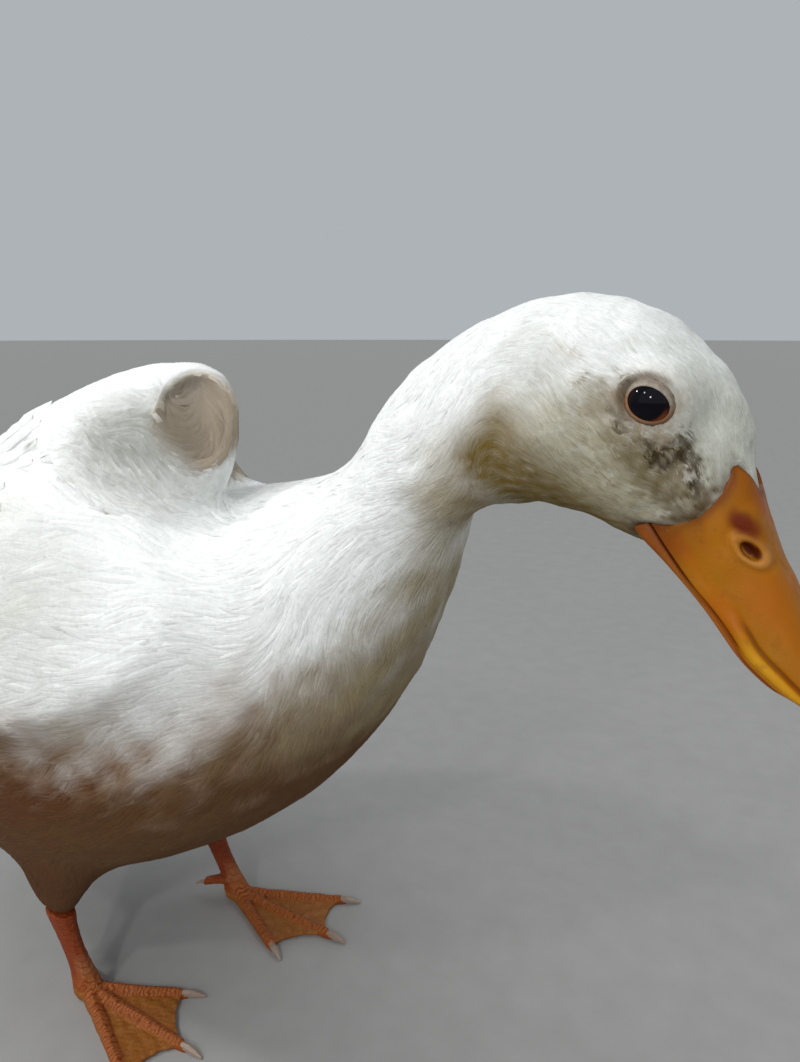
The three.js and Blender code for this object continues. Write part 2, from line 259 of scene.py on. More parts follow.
def copy_of(nodes, name):
    """The CAD nodes' meshes, copied into one new object with their doubles merged."""
    copies = []
    for node in nodes:
        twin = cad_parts[node].copy()
        twin.data = twin.data.copy()
        twin.parent = None
        bpy.context.scene.collection.objects.link(twin)
        for key in list(twin.keys()):
            del twin[key]
        copies.append(twin)
    made = join(copies)
    made.name = made.data.name = name
    made.data.materials.clear()
    edit_all(made, bpy.ops.mesh.remove_doubles, threshold=1e-5)
    return made


def finished(piece, kind, **settings):
    """Adds one modifier and applies it."""
    pick(piece)
    modifier = piece.modifiers.new(kind.lower(), kind)
    for name, value in settings.items():
        setattr(modifier, name, value)
    bpy.ops.object.modifier_apply(modifier=modifier.name)


def biggest_part(piece):
    edit_all(piece, bpy.ops.mesh.separate, type="LOOSE")
    parts = sorted(bpy.context.selected_objects, key=lambda part: len(part.data.vertices))
    for part in parts[:-1]:
        bpy.data.objects.remove(part)
    parts[-1].name = parts[-1].data.name = parts[-1].name.split(".")[0]
    return parts[-1]


def read(items, name, each, kind=float):
    """One property of a mesh's points, edges, faces or corners, as an array with a row for each."""
    values = np.zeros(len(items) * each, kind)
    items.foreach_get(name, values)
    return values.reshape(-1, each)


def places_of(piece):
    return read(piece.data.vertices, "co", 3)


def normals_of(piece):
    return read(piece.data.vertices, "normal", 3)


def move_to(piece, places):
    piece.data.vertices.foreach_set("co", np.ascontiguousarray(places).ravel())
    piece.data.update()


def unit(vectors):
    return vectors / np.maximum(np.linalg.norm(vectors, axis=-1, keepdims=True), 1e-12)


def soft_step(values, low, high):
    share = np.clip((values - low) / (high - low), 0, 1)
    return share * share * (3 - 2 * share)


def ripple(points, wave, seed):
    """A smooth random value of about -1 to 1 that changes over wave millimetres."""
    random = np.random.default_rng(seed)
    waves = 9
    ways = unit(random.normal(size=(waves, 3))) * (2 * math.pi / wave)
    ways = ways * random.uniform(0.6, 1.5, (waves, 1))
    return np.sin(points @ ways.T / MM + random.uniform(0, 6.3, waves)).sum(axis=-1) / 2.2


def tree_of(piece):
    return BVHTree.FromObject(piece, bpy.context.evaluated_depsgraph_get())


# The head's own directions: along the bill, up to the crown and to the left.
BILL_PITCH = math.radians(43)
ALONG_BILL = np.array((math.cos(BILL_PITCH), 0, -math.sin(BILL_PITCH)))
TO_CROWN = np.array((math.sin(BILL_PITCH), 0, math.cos(BILL_PITCH)))
EYE_FORWARD = 1.9
EYE_UP = 4.1
head_middle = np.array(between_eyes) - MM * (EYE_FORWARD * ALONG_BILL + EYE_UP * TO_CROWN)


def in_head(places):
    """Each place's forward, up and left, in millimetres from the head's middle."""
    away = (np.asarray(places) - head_middle) / MM
    return np.stack([away @ ALONG_BILL, away @ TO_CROWN, away[..., 1]], axis=-1)


def from_head(forward, up, left):
    """The place of a point that is given in the head's millimetres."""
    forward, up, left = (np.asarray(value, float)[..., None] for value in (forward, up, left))
    across = np.array((0.0, 1.0, 0.0))
    return head_middle + MM * (forward * ALONG_BILL + up * TO_CROWN + left * across)


# The eyes and the bill's root are fused in too, so that the skin closes round them.
BILL_ROOT_END = 39.0
bill_root = copy_of(("bill_upper", "bill_lower"), "bill_root")
cut = {"plane_co": from_head(BILL_ROOT_END, 0, 0), "plane_no": ALONG_BILL}
edit_all(bill_root, bpy.ops.mesh.bisect, use_fill=True, clear_outer=True, **cut)
skin = copy_of(FLESH + EYES, "skin")
node_of_face = []
for node in FLESH + EYES:
    number = FLESH.index(node) if node in FLESH else 0
    node_of_face += [number] * len(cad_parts[node].data.polygons)
node_of_face += [0] * len(bill_root.data.polygons)
join((skin, bill_root))
edit_all(skin, bpy.ops.transform.shrink_fatten, value=GAP_CLOSED)
solids = tree_of(skin)
finished(skin, "REMESH", mode="VOXEL", voxel_size=VOXEL)
skin = biggest_part(skin)
finished(skin, "SMOOTH", factor=0.5, iterations=SMOOTHING)

# Which solid each of the skin's points comes from, and the neighbours that even out its values.
region = np.array([node_of_face[solids.find_nearest(place)[2]] for place in places_of(skin)])
edges = read(skin.data.edges, "vertices", 2, int)
ends = np.concatenate([edges, edges[:, ::-1]])
neighbours = np.bincount(ends[:, 0], minlength=len(region))


def evened(values, rounds):
    """Each point's value, drawn towards its neighbours' mean again and again."""
    values = np.array(values, float)
    for _ in range(rounds):
        columns = values.reshape(len(region), -1).T
        sums = [np.bincount(ends[:, 0], column[ends[:, 1]], len(region)) for column in columns]
        values = 0.4 * values + 0.6 * (np.stack(sums, axis=1) / neighbours[:, None]).reshape(values.shape)
    return values


def is_in(*nodes):
    return np.isin(region, [FLESH.index(node) for node in nodes])


# How deep the coat is over each part, in millimetres, and the most of a thin part's own thickness
# that it takes up.
COAT = {"head": 0.3, "neck_upper": 0.45, "neck_lower": 0.6, "trunk": 0.7, "rump": 0.9}
for side in ("right", "left"):
    COAT.update({"thigh_" + side: 0.7, "wing_" + side: 0.65, "side_feathers_" + side: 0.9})
COAT_OF_THIN = 0.3
THICKEST = 20.0
coat = evened(np.array([COAT[node] for node in FLESH])[region], 30)
places = places_of(skin)
normals = normals_of(skin)
head_places = in_head(places)
near_bill = soft_step(head_places[:, 0], 8, 24) * (head_places[:, 1] > -32) * is_in("head")
coat = coat * (1 - 0.55 * evened(near_bill, 8))
outer = tree_of(skin)
thickness = np.full(len(places), THICKEST)
for i, (place, normal) in enumerate(zip(places, normals)):
    found = outer.ray_cast(Vector(place - normal * 0.2 * MM), Vector(-normal), THICKEST * MM)
    if found[3] is not None:
        thickness[i] = found[3] / MM
coat = evened(np.minimum(coat, COAT_OF_THIN * thickness), 6)
move_to(skin, places - normals * coat[:, None] * MM)
finished(skin, "SMOOTH", factor=0.5, iterations=4)


def near_border(nodes, others, rounds):
    """1 where two groups of solids meet, and 0 away from there."""
    mine, theirs = evened(is_in(*nodes), rounds), evened(is_in(*others), rounds)
    return np.clip(4.2 * mine * theirs, 0, 1)


# Down hides the steps where the side feathers, the wings and the thighs meet the trunk and neck.
SIDES = FOLDED[:2]
WINGS = FOLDED[2:]
BORDER_ROUNDS = 170
places = places_of(skin)
border = near_border(SIDES, ("trunk", "neck_lower"), 34) * soft_step(places[:, 2], 0.235, 0.21)
border = border * soft_step(places[:, 0], -0.13, -0.08)
border = np.maximum(border, near_border(LIMBS, ("trunk",), 10))
border = np.maximum(border, 0.6 * near_border(WINGS, ("trunk",), 8))[:, None]
for _ in range(BORDER_ROUNDS):
    places = places + 0.6 * border * (evened(places, 1) - places) / 0.6
move_to(skin, places)

# The folds of the skin: on each cheek a pad of longer feathers that ends in a ridge, a hollow
# behind the leading edge of each lifted wing, and a crease where the wing lies on the side.
POCKET_MIDDLE = np.array((42.7, 33.7, 265.0))
POCKET_FACING = unit(np.array((0.45, 0.85, 0.2)))
POCKET_ACROSS = unit(np.cross((0.0, 0.0, 1.0), POCKET_FACING * (1, -1, 1)) * (1, -1, 1))
POCKET_UP = unit(np.array((-0.095, -0.18, 0.979)))
POCKET_SIZE = np.array((15.3, 19.5))
POCKET_DEPTH = 6.5
POCKET_RIM = 1.2
LEFT_WING_MOVED = np.array((-34.0, 0.0, -31.5))
WING_CREASE = np.array(
    ((-48, 35, 254), (-38.9, 37.9, 251.7), (-4.6, 48.8, 242.3), (20.1, 51.6, 233.8))
)
CREASE_DEPTH = 1.5
NAPE_DIP = np.array((92.0, 258.0))
DIP_DEPTH = 6.0
PAD_HEIGHT = 1.5


def as_on_right(places):
    """Places in millimetres, with the left wing's turned over to where the right wing's are."""
    places = np.array(places) / MM
    left = places[..., 1:2] > 0
    moved = np.where(left, places - LEFT_WING_MOVED, places)
    return moved * (1, -1, 1) * np.where(left, (1, -1, 1), 1)


def in_pocket(places):
    """How far out in the wing's hollow places are, 0 at its middle and 1 at its rim, and which way."""
    away = as_on_right(places) - POCKET_MIDDLE
    across, up = away @ POCKET_ACROSS / POCKET_SIZE[0], away @ POCKET_UP / POCKET_SIZE[1]
    near = np.abs(away @ POCKET_FACING) < 26
    return np.where(near, np.hypot(across, up), 9.0), across, up


def from_line(places, line):
    """How far places are from a line through points."""
    best = np.full(places.shape[:-1], 1e9)
    for start, end in zip(line, line[1:]):
        along = end - start
        share = np.clip((places - start) @ along / (along @ along), 0, 1)
        best = np.minimum(best, np.linalg.norm(places - start - share[..., None] * along, axis=-1))
    return best


places = places_of(skin)
normals = normals_of(skin)
turned_over = np.where(places[:, 1:2] > 0, (1, 1, 1), (1, -1, 1))
facing = (normals * turned_over) @ POCKET_FACING
ring, across, up = in_pocket(places)
wing = is_in(*FOLDED, "trunk")
upper_right = across * math.cos(0.9) + up * math.sin(0.9)
hollow = soft_step(ring, 1.02, 0.62) * soft_step(upper_right, -0.95, 0.1)
hollow = hollow * soft_step(facing, -0.05, 0.3) * wing
rim = np.exp(-(((ring - 1.1) / 0.1) ** 2)) * soft_step(upper_right, -0.35, 0.2)
rim = rim * soft_step(facing, -0.2, 0.3) * wing
push = POCKET_FACING * turned_over * (-POCKET_DEPTH * hollow + POCKET_RIM * rim)[:, None]
places = places + push * MM
crease = np.exp(-((from_line(as_on_right(places), WING_CREASE) / 1.6) ** 2))
places = places - normals * CREASE_DEPTH * MM * crease[:, None]
# The nape runs down into a slight dip in front of the back.
dip = np.exp(-(np.hypot(*(places[:, (0, 2)] / MM - NAPE_DIP).T) / 19) ** 2)
dip = dip * soft_step(normals[:, 2], 0.0, 0.5)
places = places - normals * (DIP_DEPTH * dip * is_in("neck_lower", "trunk"))[:, None] * MM
forward, up, left = in_head(places).T
pad = soft_step(forward, -26.5, -22.5) * soft_step(forward, 3, -14) * np.exp(-(((up + 22) / 9) ** 2))
pad *= soft_step(np.abs(left), 10, 17) * is_in("head", "neck_upper")
lumps = ripple(places, 14, 31) + 0.5 * ripple(places, 6, 32)
lumps = 0.2 * evened(is_in("head", "neck_upper", "neck_lower"), 10) * lumps
places = places + normals * (PAD_HEIGHT * pad + lumps)[:, None] * MM
move_to(skin, places)

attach(skin, "root")
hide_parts(*FLESH)

# ---- Eyes and lids ----
# Each eye is a dark wet ball, black but for a narrow red-brown rim of iris. Bare lids close over
# it in a ring: broad, pinkish grey and wrinkled above, thin and orange-brown below.

LEFT_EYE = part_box("eye_left")
EYE_RADIUS = (LEFT_EYE[1] - LEFT_EYE[0])[1] / 2 / MM
EYE_ASIDE = middle_of("eye_left")[1] / MM - head_middle[1] / MM
# The opening between the lids: its half length and half height, and how far it tilts up forward.
OPENING = np.array((5.05, 3.75))
OPENING_TILT = math.radians(19)


def turn_by(angle):
    return np.array(((math.cos(angle), -math.sin(angle)), (math.sin(angle), math.cos(angle))))


tilt = turn_by(OPENING_TILT)
LID_ROWS = (
    # out from the opening's rim, as a share of the lid's width and in millimetres, and over the ball
    (-0.12, 0.0, -0.9),
    (0.0, 0.0, 0.0),
    (0.06, 0.0, 0.26),
    (0.16, 0.0, 0.38),
    (0.30, 0.0, 0.26),
    (0.50, 0.0, 0.38),
    (0.75, 0.0, 0.34),
    (1.0, 0.0, 0.05),
    (1.0, 0.5, -0.7),
    (1.0, 1.6, -1.6),
    (1.0, 1.4, -2.8),
    (0.2, 0.0, -2.9),
)
LID_STEPS = 128
LID_PALE = np.array((0.275, 0.24, 0.19))
LID_ORANGE = np.array((0.26, 0.125, 0.055))
LID_DARK = np.array((0.085, 0.042, 0.02))


def round_opening(places):
    """How far places are out from the opening's rim in millimetres, and how far round it."""
    forward, up, left = np.moveaxis(in_head(places), -1, 0)
    away = np.stack([forward - EYE_FORWARD, up - EYE_UP], axis=-1) @ tilt
    reach = np.linalg.norm(away, axis=-1)
    share = np.linalg.norm(away / OPENING, axis=-1)
    out = reach * (1 - 1 / np.maximum(share, 0.05))
    angle = np.arctan2(away[..., 1] / OPENING[1], away[..., 0] / OPENING[0])
    return np.where(np.abs(left) > 8, out, 99), angle


def lid_width_at(angle):
    """The bare lid is widest over the eye."""
    return 1.05 + 0.55 * np.maximum(np.sin(angle - 0.3), 0) ** 0.8 - 0.2 * np.cos(angle)


def lid_rim(angle):
    """How far out from the eye's axis a lid's outer edge is, and how high the ball stands there."""
    radius = np.hypot(OPENING[0] * np.cos(angle), OPENING[1] * np.sin(angle)) + lid_width_at(angle)
    return radius, np.sqrt(EYE_RADIUS**2 - radius**2)


# The skin round each eye is drawn up to the lid's edge, and in behind the ball.
BEHIND_BALL = 5.5
places = places_of(skin)
head_places = in_head(places)
out, round_angle = round_opening(places)
rim_aside = EYE_ASIDE + lid_rim(round_angle)[1] - 0.25
beyond = out - lid_width_at(round_angle)
side = np.sign(head_places[:, 2])
reach_up = soft_step(beyond, 7.5, 0.2)
aside = np.abs(head_places[:, 2])
aside = aside + reach_up * (np.maximum(aside, rim_aside) - aside)
aside = aside + soft_step(beyond, 1.4, 0.3) * (rim_aside - aside)
aside = aside - soft_step(out, 0.3, -2.2) * BEHIND_BALL
head_places[:, 2] = side * aside
near_eye = np.abs(out) < 20
places[near_eye] = from_head(*head_places[near_eye].T)
move_to(skin, places)

eye_finish = Finish("wet_eye", Roughness=0.03, Specular_IOR_Level=0.1)
lid_finish = Finish("bare_lid", Roughness=0.45, Specular_IOR_Level=0.4)


def placed(mesh):
    """A smooth mesh, set in the scene as a piece of its own."""
    mesh.shade_smooth()
    piece = bpy.data.objects.new(mesh.name, mesh)
    bpy.context.scene.collection.objects.link(piece)
    return piece


def turned_out(name, points, made_faces):
    """A piece made from points and faces, with its doubles merged and its faces looking outward."""
    mesh = bpy.data.meshes.new(name)
    mesh.from_pydata([tuple(point) for point in points], [], made_faces)
    piece = placed(mesh)
    edit_all(piece, bpy.ops.mesh.remove_doubles, threshold=1e-7)
    edit_all(piece, bpy.ops.mesh.normals_make_consistent, inside=False)
    return piece


def blended(colour, share, tint):
    return colour + np.clip(share, 0, 1)[..., None] * (np.asarray(tint) - colour)


def paint(mesh, colours):
    """Keeps a colour on each of the mesh's points, for its finish to read."""
    colours = colours.reshape(-1, 3)
    kept = mesh.color_attributes.new(name="markings_and_shading", type="FLOAT_COLOR", domain="POINT")
    rgba = np.concatenate([np.clip(colours, 0.002, 0.95), np.ones((len(colours), 1))], axis=1)
    kept.data.foreach_set("color", rgba.ravel())


def wrapped(rows, around, closed_rows=True):
    """The faces of a grid of rows whose ends meet, and whose first and last rows may meet too."""
    quads = []
    for i in range(rows if closed_rows else rows - 1):
        here, below = i * around, (i + 1) % rows * around
        for j in range(around):
            beside = (j + 1) % around
            quads.append((here + j, here + beside, below + beside, below + j))
    return quads


for side, name in ((-1, "right"), (1, "left")):
    bpy.ops.object.select_all(action="DESELECT")
    bpy.ops.mesh.primitive_uv_sphere_add(
        segments=64,
        ring_count=40,
        radius=EYE_RADIUS * MM,
        location=middle_of("eye_" + name),
        rotation=(math.pi / 2, 0, 0),
    )
    ball = bpy.context.object
    ball.name = ball.data.name = "eyeball_" + name
    bpy.ops.object.transform_apply(location=True, rotation=True, scale=True)
    ball.data.shade_smooth()
    ball.data.materials.append(eye_finish.material)
    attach(ball, "root")
    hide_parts("eye_" + name)

    angle = np.linspace(0, 2 * math.pi, LID_STEPS, endpoint=False)
    lid_width = lid_width_at(angle)
    inner = np.stack([OPENING[0] * np.cos(angle), OPENING[1] * np.sin(angle)], axis=1)
    reach = np.linalg.norm(inner, axis=1)
    outward = (inner / reach[:, None]) @ tilt.T
    rows, row_colours = [], []
    low = soft_step(inner @ tilt.T @ (-0.41, 0.91), 2.4, -1.6)[:, None]
    for share, further, lift in LID_ROWS:
        radius = reach + share * lid_width + further
        on_ball = np.sqrt(EYE_RADIUS**2 - np.minimum(radius, lid_rim(angle)[0]) ** 2)
        wrinkled = 0.10 * (0.2 < share < 1) * np.maximum(np.sin(angle), 0)
        wrinkle = wrinkled * (np.sin(5 * angle + 9 * share) + np.sin(13 * angle - 15 * share))
        level = EYE_ASIDE + on_ball + lift + wrinkle
        place = outward * radius[:, None]
        rows.append(from_head(EYE_FORWARD + place[:, 0], EYE_UP + place[:, 1], side * level))
        bare_skin = LID_PALE + low * (LID_ORANGE - LID_PALE)
        # Painted shade in the creases: dark at the lid's outer edge, more so below, and at its rim on the
        # ball.
        dark = soft_step(share, 0.55, 0.95) * (0.5 - 0.2 * np.sin(angle))
        dark = dark + soft_step(share, 0.1, 0.0) * 0.7
        row_colours.append(bare_skin + dark[:, None] * (LID_DARK - bare_skin))
    lids = turned_out("lids_" + name, np.concatenate(rows), wrapped(len(rows), LID_STEPS))
    paint(lids.data, np.concatenate(row_colours))
    finished(lids, "SUBSURF", levels=1, render_levels=1)
    lids.data.shade_smooth()
    lids.data.materials.append(lid_finish.material)
    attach(lids, "root")


def seen_from_head(finish):
    """The shaded point's forward, up and distance aside in the head's millimetres."""
    less, dot = {"operation": "SUBTRACT"}, {"operation": "DOT_PRODUCT"}
    away = finish.node("VectorMath", 0, less, i0=finish.place(), i1=tuple(head_middle))
    ways = []
    for way in (ALONG_BILL, TO_CROWN, (0.0, 1.0, 0.0)):
        ways.append(finish.node("VectorMath", 1, dot, i0=away, i1=tuple(way)) / MM)
    return ways[0], ways[1], abs(ways[2])


# The iris is a ring about the eye's axis, seen best at the lower front.
forward, up, aside = seen_from_head(eye_finish)
forward, up = forward - EYE_FORWARD, up - EYE_UP
out = forward * forward + up * up
out = out.maths("SQRT", out)
iris = eye_finish.band(out, 3.7, 4.3)
iris = iris * eye_finish.band(forward * 0.8 - up * 0.6, 1.2, 3.6, 0.05, 1.0)
WET_BLACK = (0.003, 0.003, 0.005, 1)
IRIS_RED = (0.13, 0.03, 0.010, 1)
eye_finish.set(Base_Color=eye_finish.mixed(iris.clamped(), WET_BLACK, IRIS_RED))

marks_and_shading = lid_finish.node("Attribute", 0, {"attribute_name": "markings_and_shading"})
grain = lid_finish.noise(lid_finish.place(), 900.0, 4.0)
grain = lid_finish.band(grain, 0.45, 0.7, 0, 0.5)
lid_finish.set(Base_Color=lid_finish.mixed(grain, marks_and_shading, (0.13, 0.075, 0.045, 1)))
lid_finish.bump(lid_finish.noise(lid_finish.place(), 1400.0, 4.0), 0.6, 0.0004)

# ---- The bill ----
# Two mandibles of bone under a soft, leathery amber skin. The upper one is squared at its root
# and flat and broad at its tip, with a nail, a nostril with a swollen rim on each side, and a
# groove that parts a glossy lip from the rest. The lower one closes up into it.

# How far forward the feathers reach at the bill, by the angle round it from the culmen down.
LORE_ANGLES = (0, 18, 26, 32, 40, 54, 76, 93, 125, 136, 148, 165, 180)
LORE_FORWARD = (34.5, 34.0, 29.0, 24.4, 27.0, 28.8, 29.0, 29.3, 26.7, 21.7, 22.3, 31.0, 34.0)
BILL_AXIS_UP = -8.0


def before_lore(places):
    """How many millimetres a place is behind the bill's edge."""
    forward, up, left = np.moveaxis(in_head(places), -1, 0)
    angle = np.degrees(np.arctan2(np.abs(left), up - BILL_AXIS_UP))
    return np.interp(angle, LORE_ANGLES, LORE_FORWARD) - forward


# Forward of the head's middle: the culmen's and the edge's height and the half width, millimetres.
UPPER_BILL = np.array(
    (
        (12.0, 7.4, -17.4, 9.6),
        (20.0, 7.3, -18.0, 11.0),
        (30.0, 6.6, -19.6, 12.0),
        (42.0, 0.8, -21.2, 12.6),
        (50.0, -2.6, -21.6, 13.0),
        (57.0, -4.8, -22.5, 13.5),
        (63.0, -6.8, -23.5, 14.0),
        (69.0, -9.0, -23.2, 14.4),
        (77.0, -11.6, -22.2, 14.4),
        (84.0, -13.6, -20.4, 13.7),
        (90.0, -15.4, -19.6, 11.4),
        (94.5, -17.2, -19.5, 7.0),
        (96.8, -18.6, -19.3, 1.0),
    )
)
LOWER_BILL = np.array(
    (
        (14.0, -18.4, -23.0, 10.0),
        (22.0, -18.2, -23.4, 11.0),
        (30.0, -19.4, -23.2, 11.7),
        (38.0, -20.4, -23.1, 12.0),
        (46.0, -20.8, -23.6, 12.4),
        (54.0, -21.4, -24.7, 12.8),
        (60.0, -22.2, -25.6, 13.2),
        (66.0, -22.0, -25.9, 13.5),
        (71.0, -21.4, -25.2, 13.5),
        (77.0, -20.4, -22.9, 12.9),
        (84.0, -18.8, -21.2, 11.8),
        (90.0, -18.5, -20.2, 9.0),
        (95.0, -18.9, -19.6, 2.6),
    )
)
SQUARENESS = ((12, 5.0), (26, 5.0), (34, 3.6), (45, 2.9), (60, 2.5), (80, 2.3), (97, 2.2))
NOSTRIL = np.array((43.4, -4.9))
NOSTRIL_TILT = math.radians(-3)


def curve(where, table, column):
    """A smooth curve through one column of a table, by its first column."""
    known, values = table[:, 0], table[:, column]
    slopes = np.gradient(values, known)
    k = np.clip(np.searchsorted(known, where) - 1, 0, len(known) - 2)
    span = known[k + 1] - known[k]
    t = (where - known[k]) / span
    return (
        (2 * t**3 - 3 * t**2 + 1) * values[k]
        + (t**3 - 2 * t**2 + t) * span * slopes[k]
        + (3 * t**2 - 2 * t**3) * values[k + 1]
        + (t**3 - t**2) * span * slopes[k + 1]
    )


def mandible(table, spacing, over, lip, under, vault):
    """Rows along the bill of points over the culmen, round each lip and back under it."""
    stations = np.arange(table[0, 0], table[-1, 0], spacing)
    stations = np.append(stations, table[-1, 0])
    forward = stations[:, None]
    top, edge, half = (curve(forward, table, column) for column in (1, 2, 3))
    half = np.maximum(half, 0.8)
    square = np.interp(forward, *zip(*SQUARENESS))
    lip = np.interp(forward, (20, 60, 80), lip)
    widest = edge + np.minimum(lip, 0.4 * (top - edge))
    alpha = np.linspace(-math.pi / 2, math.pi / 2, over)[None]
    left = half * np.sign(alpha) * np.abs(np.sin(alpha)) ** (2 / square)
    up = widest + (top - widest) * np.abs(np.cos(alpha)) ** (2 / square)
    beta = np.linspace(0, math.pi, under)[None]
    inner_left = half * (1 - 0.12 * np.sin(np.minimum(beta, math.pi - beta)) ** 0.5) * np.cos(beta)
    inner_up = edge + (widest - edge) * (1 - np.sin(np.minimum(beta, math.pi - beta)) ** 0.25)
    inner_up = inner_up + vault * np.maximum(0, 1 - (inner_left / (0.8 * half)) ** 2)
    left = np.concatenate([left, inner_left[:, 1:-1]], axis=1)
    up = np.concatenate([up, inner_up[:, 1:-1]], axis=1)
    forward = np.broadcast_to(forward, left.shape)
    return forward, up, left


UPPER_OVER = 150
forward, up, left = mandible(UPPER_BILL, 0.55, UPPER_OVER, (0.6, 1.6, 2.2), 60, 1.2)
top_side = np.arange(forward.shape[1])[None] < UPPER_OVER
height = up - curve(forward, UPPER_BILL, 2)

# The swollen lip below its groove, the soft crease above the gape, and the nail.
GROOVE_FORWARD = (40, 50, 55, 61, 66, 70, 75, 82, 89, 97)
GROOVE_UP = (5.2, 4.9, 4.7, 4.6, 4.5, 4.5, 4.1, 3.1, 2.0, 0.8)
groove_deep = soft_step(forward, 50, 59) * (1 - 0.8 * soft_step(forward, 88, 93))
off_groove = height - np.interp(forward, GROOVE_FORWARD, GROOVE_UP)
lift = -0.9 * groove_deep * np.exp(-((off_groove / 0.55) ** 2))
lift += 1.1 * groove_deep * np.exp(-(((off_groove + 2.2) / 1.5) ** 2))
gape_crease = -0.3 * np.exp(-(((height - 3.4) / 0.7) ** 2))
lift += gape_crease * soft_step(forward, 24, 29) * (1 - soft_step(forward, 38, 46))
nail = soft_step(5.4 - np.hypot((forward - 93) / 1.5, left / 0.95), 0, 0.8) * top_side
lift += 0.5 * nail

# The nostrils: a dent with a raised rim, in a shallow trough.
turn = turn_by(-NOSTRIL_TILT)


def nostril_places(forward, up):
    away = np.stack([forward - NOSTRIL[0], up - NOSTRIL[1]], axis=-1) @ turn
    along, across = away[..., 0], away[..., 1]
    return along, across, np.hypot(along / 3.0, across / 1.5)


along, across, ring = nostril_places(forward, up)
beside = top_side & (np.abs(left) > 4)
rim = np.exp(-(((ring - 1.45) / 0.35) ** 2)) * (0.75 + 0.25 * np.sign(-across))
dent = soft_step(ring, 1.12, 0.55)
trough = np.exp(-(((ring - 2.3) / 0.4) ** 2))
lift += beside * (0.55 * rim - 2.6 * dent - 0.28 * trough)
# Soft unevenness of the skin.
points = from_head(forward, up, left)
lift += 0.05 * ripple(points, 7, 21) + 0.1 * ripple(points, 18, 22)
along_rows = np.gradient(points, axis=0)
along_ring = np.roll(points, -1, axis=1) - np.roll(points, 1, axis=1)
outward = unit(np.cross(along_rows, along_ring))
centre = points.mean(axis=1, keepdims=True)
outward *= np.sign((outward * (points - centre)).sum(axis=(1, 2), keepdims=True))
points = points + outward * (lift * top_side)[..., None] * MM
# Behind the edge of the feathers the bill goes in under the skin.
BILL_UNDER_SKIN = 2.4
hidden = soft_step(before_lore(points), 0.2, 2.2) * BILL_UNDER_SKIN
points = points - outward * (hidden * top_side)[..., None] * MM


def capped(name, points):
    """A piece made from rows of points, with a fan of triangles at each end."""
    rows, around = points.shape[:2]
    made_faces = wrapped(rows, around, closed_rows=False)
    grid = points.reshape(-1, 3)
    first, last = len(grid), len(grid) + 1
    grid = np.concatenate([grid, [grid[:around].mean(axis=0), grid[-around:].mean(axis=0)]])
    for j in range(around):
        beside = (j + 1) % around
        made_faces.append((first, beside, j))
        made_faces.append((last, (rows - 1) * around + j, (rows - 1) * around + beside))
    return turned_out(name, grid, made_faces)


upper_bill = capped("bill_upper_skin", points)

# The skin of the head in turn goes in under the bill, ahead of that edge.
SKIN_UNDER_BILL = 2.8
places = places_of(skin)
forward, up, left = in_head(places).T
under = soft_step(-before_lore(places), 0.0, 2.2) * (forward > 8) * (places[:, 2] > 0.2)
places = places - normals_of(skin) * (SKIN_UNDER_BILL * under)[:, None] * MM
move_to(skin, places)

LOWER_OVER = 60
forward, up, left = mandible(LOWER_BILL, 0.9, LOWER_OVER, (0.5, 1.0, 1.6), 50, 0.0)
# The lower mandible is the same form turned over: its rounded side faces down.
top, edge = curve(forward, LOWER_BILL, 1), curve(forward, LOWER_BILL, 2)
up = top + edge - up
points = from_head(forward, up, left)
outward = unit(points - points.mean(axis=1, keepdims=True))
points = points + outward * (0.06 * ripple(points, 9, 23))[..., None] * MM
lower_bill = capped("bill_lower_skin", points)


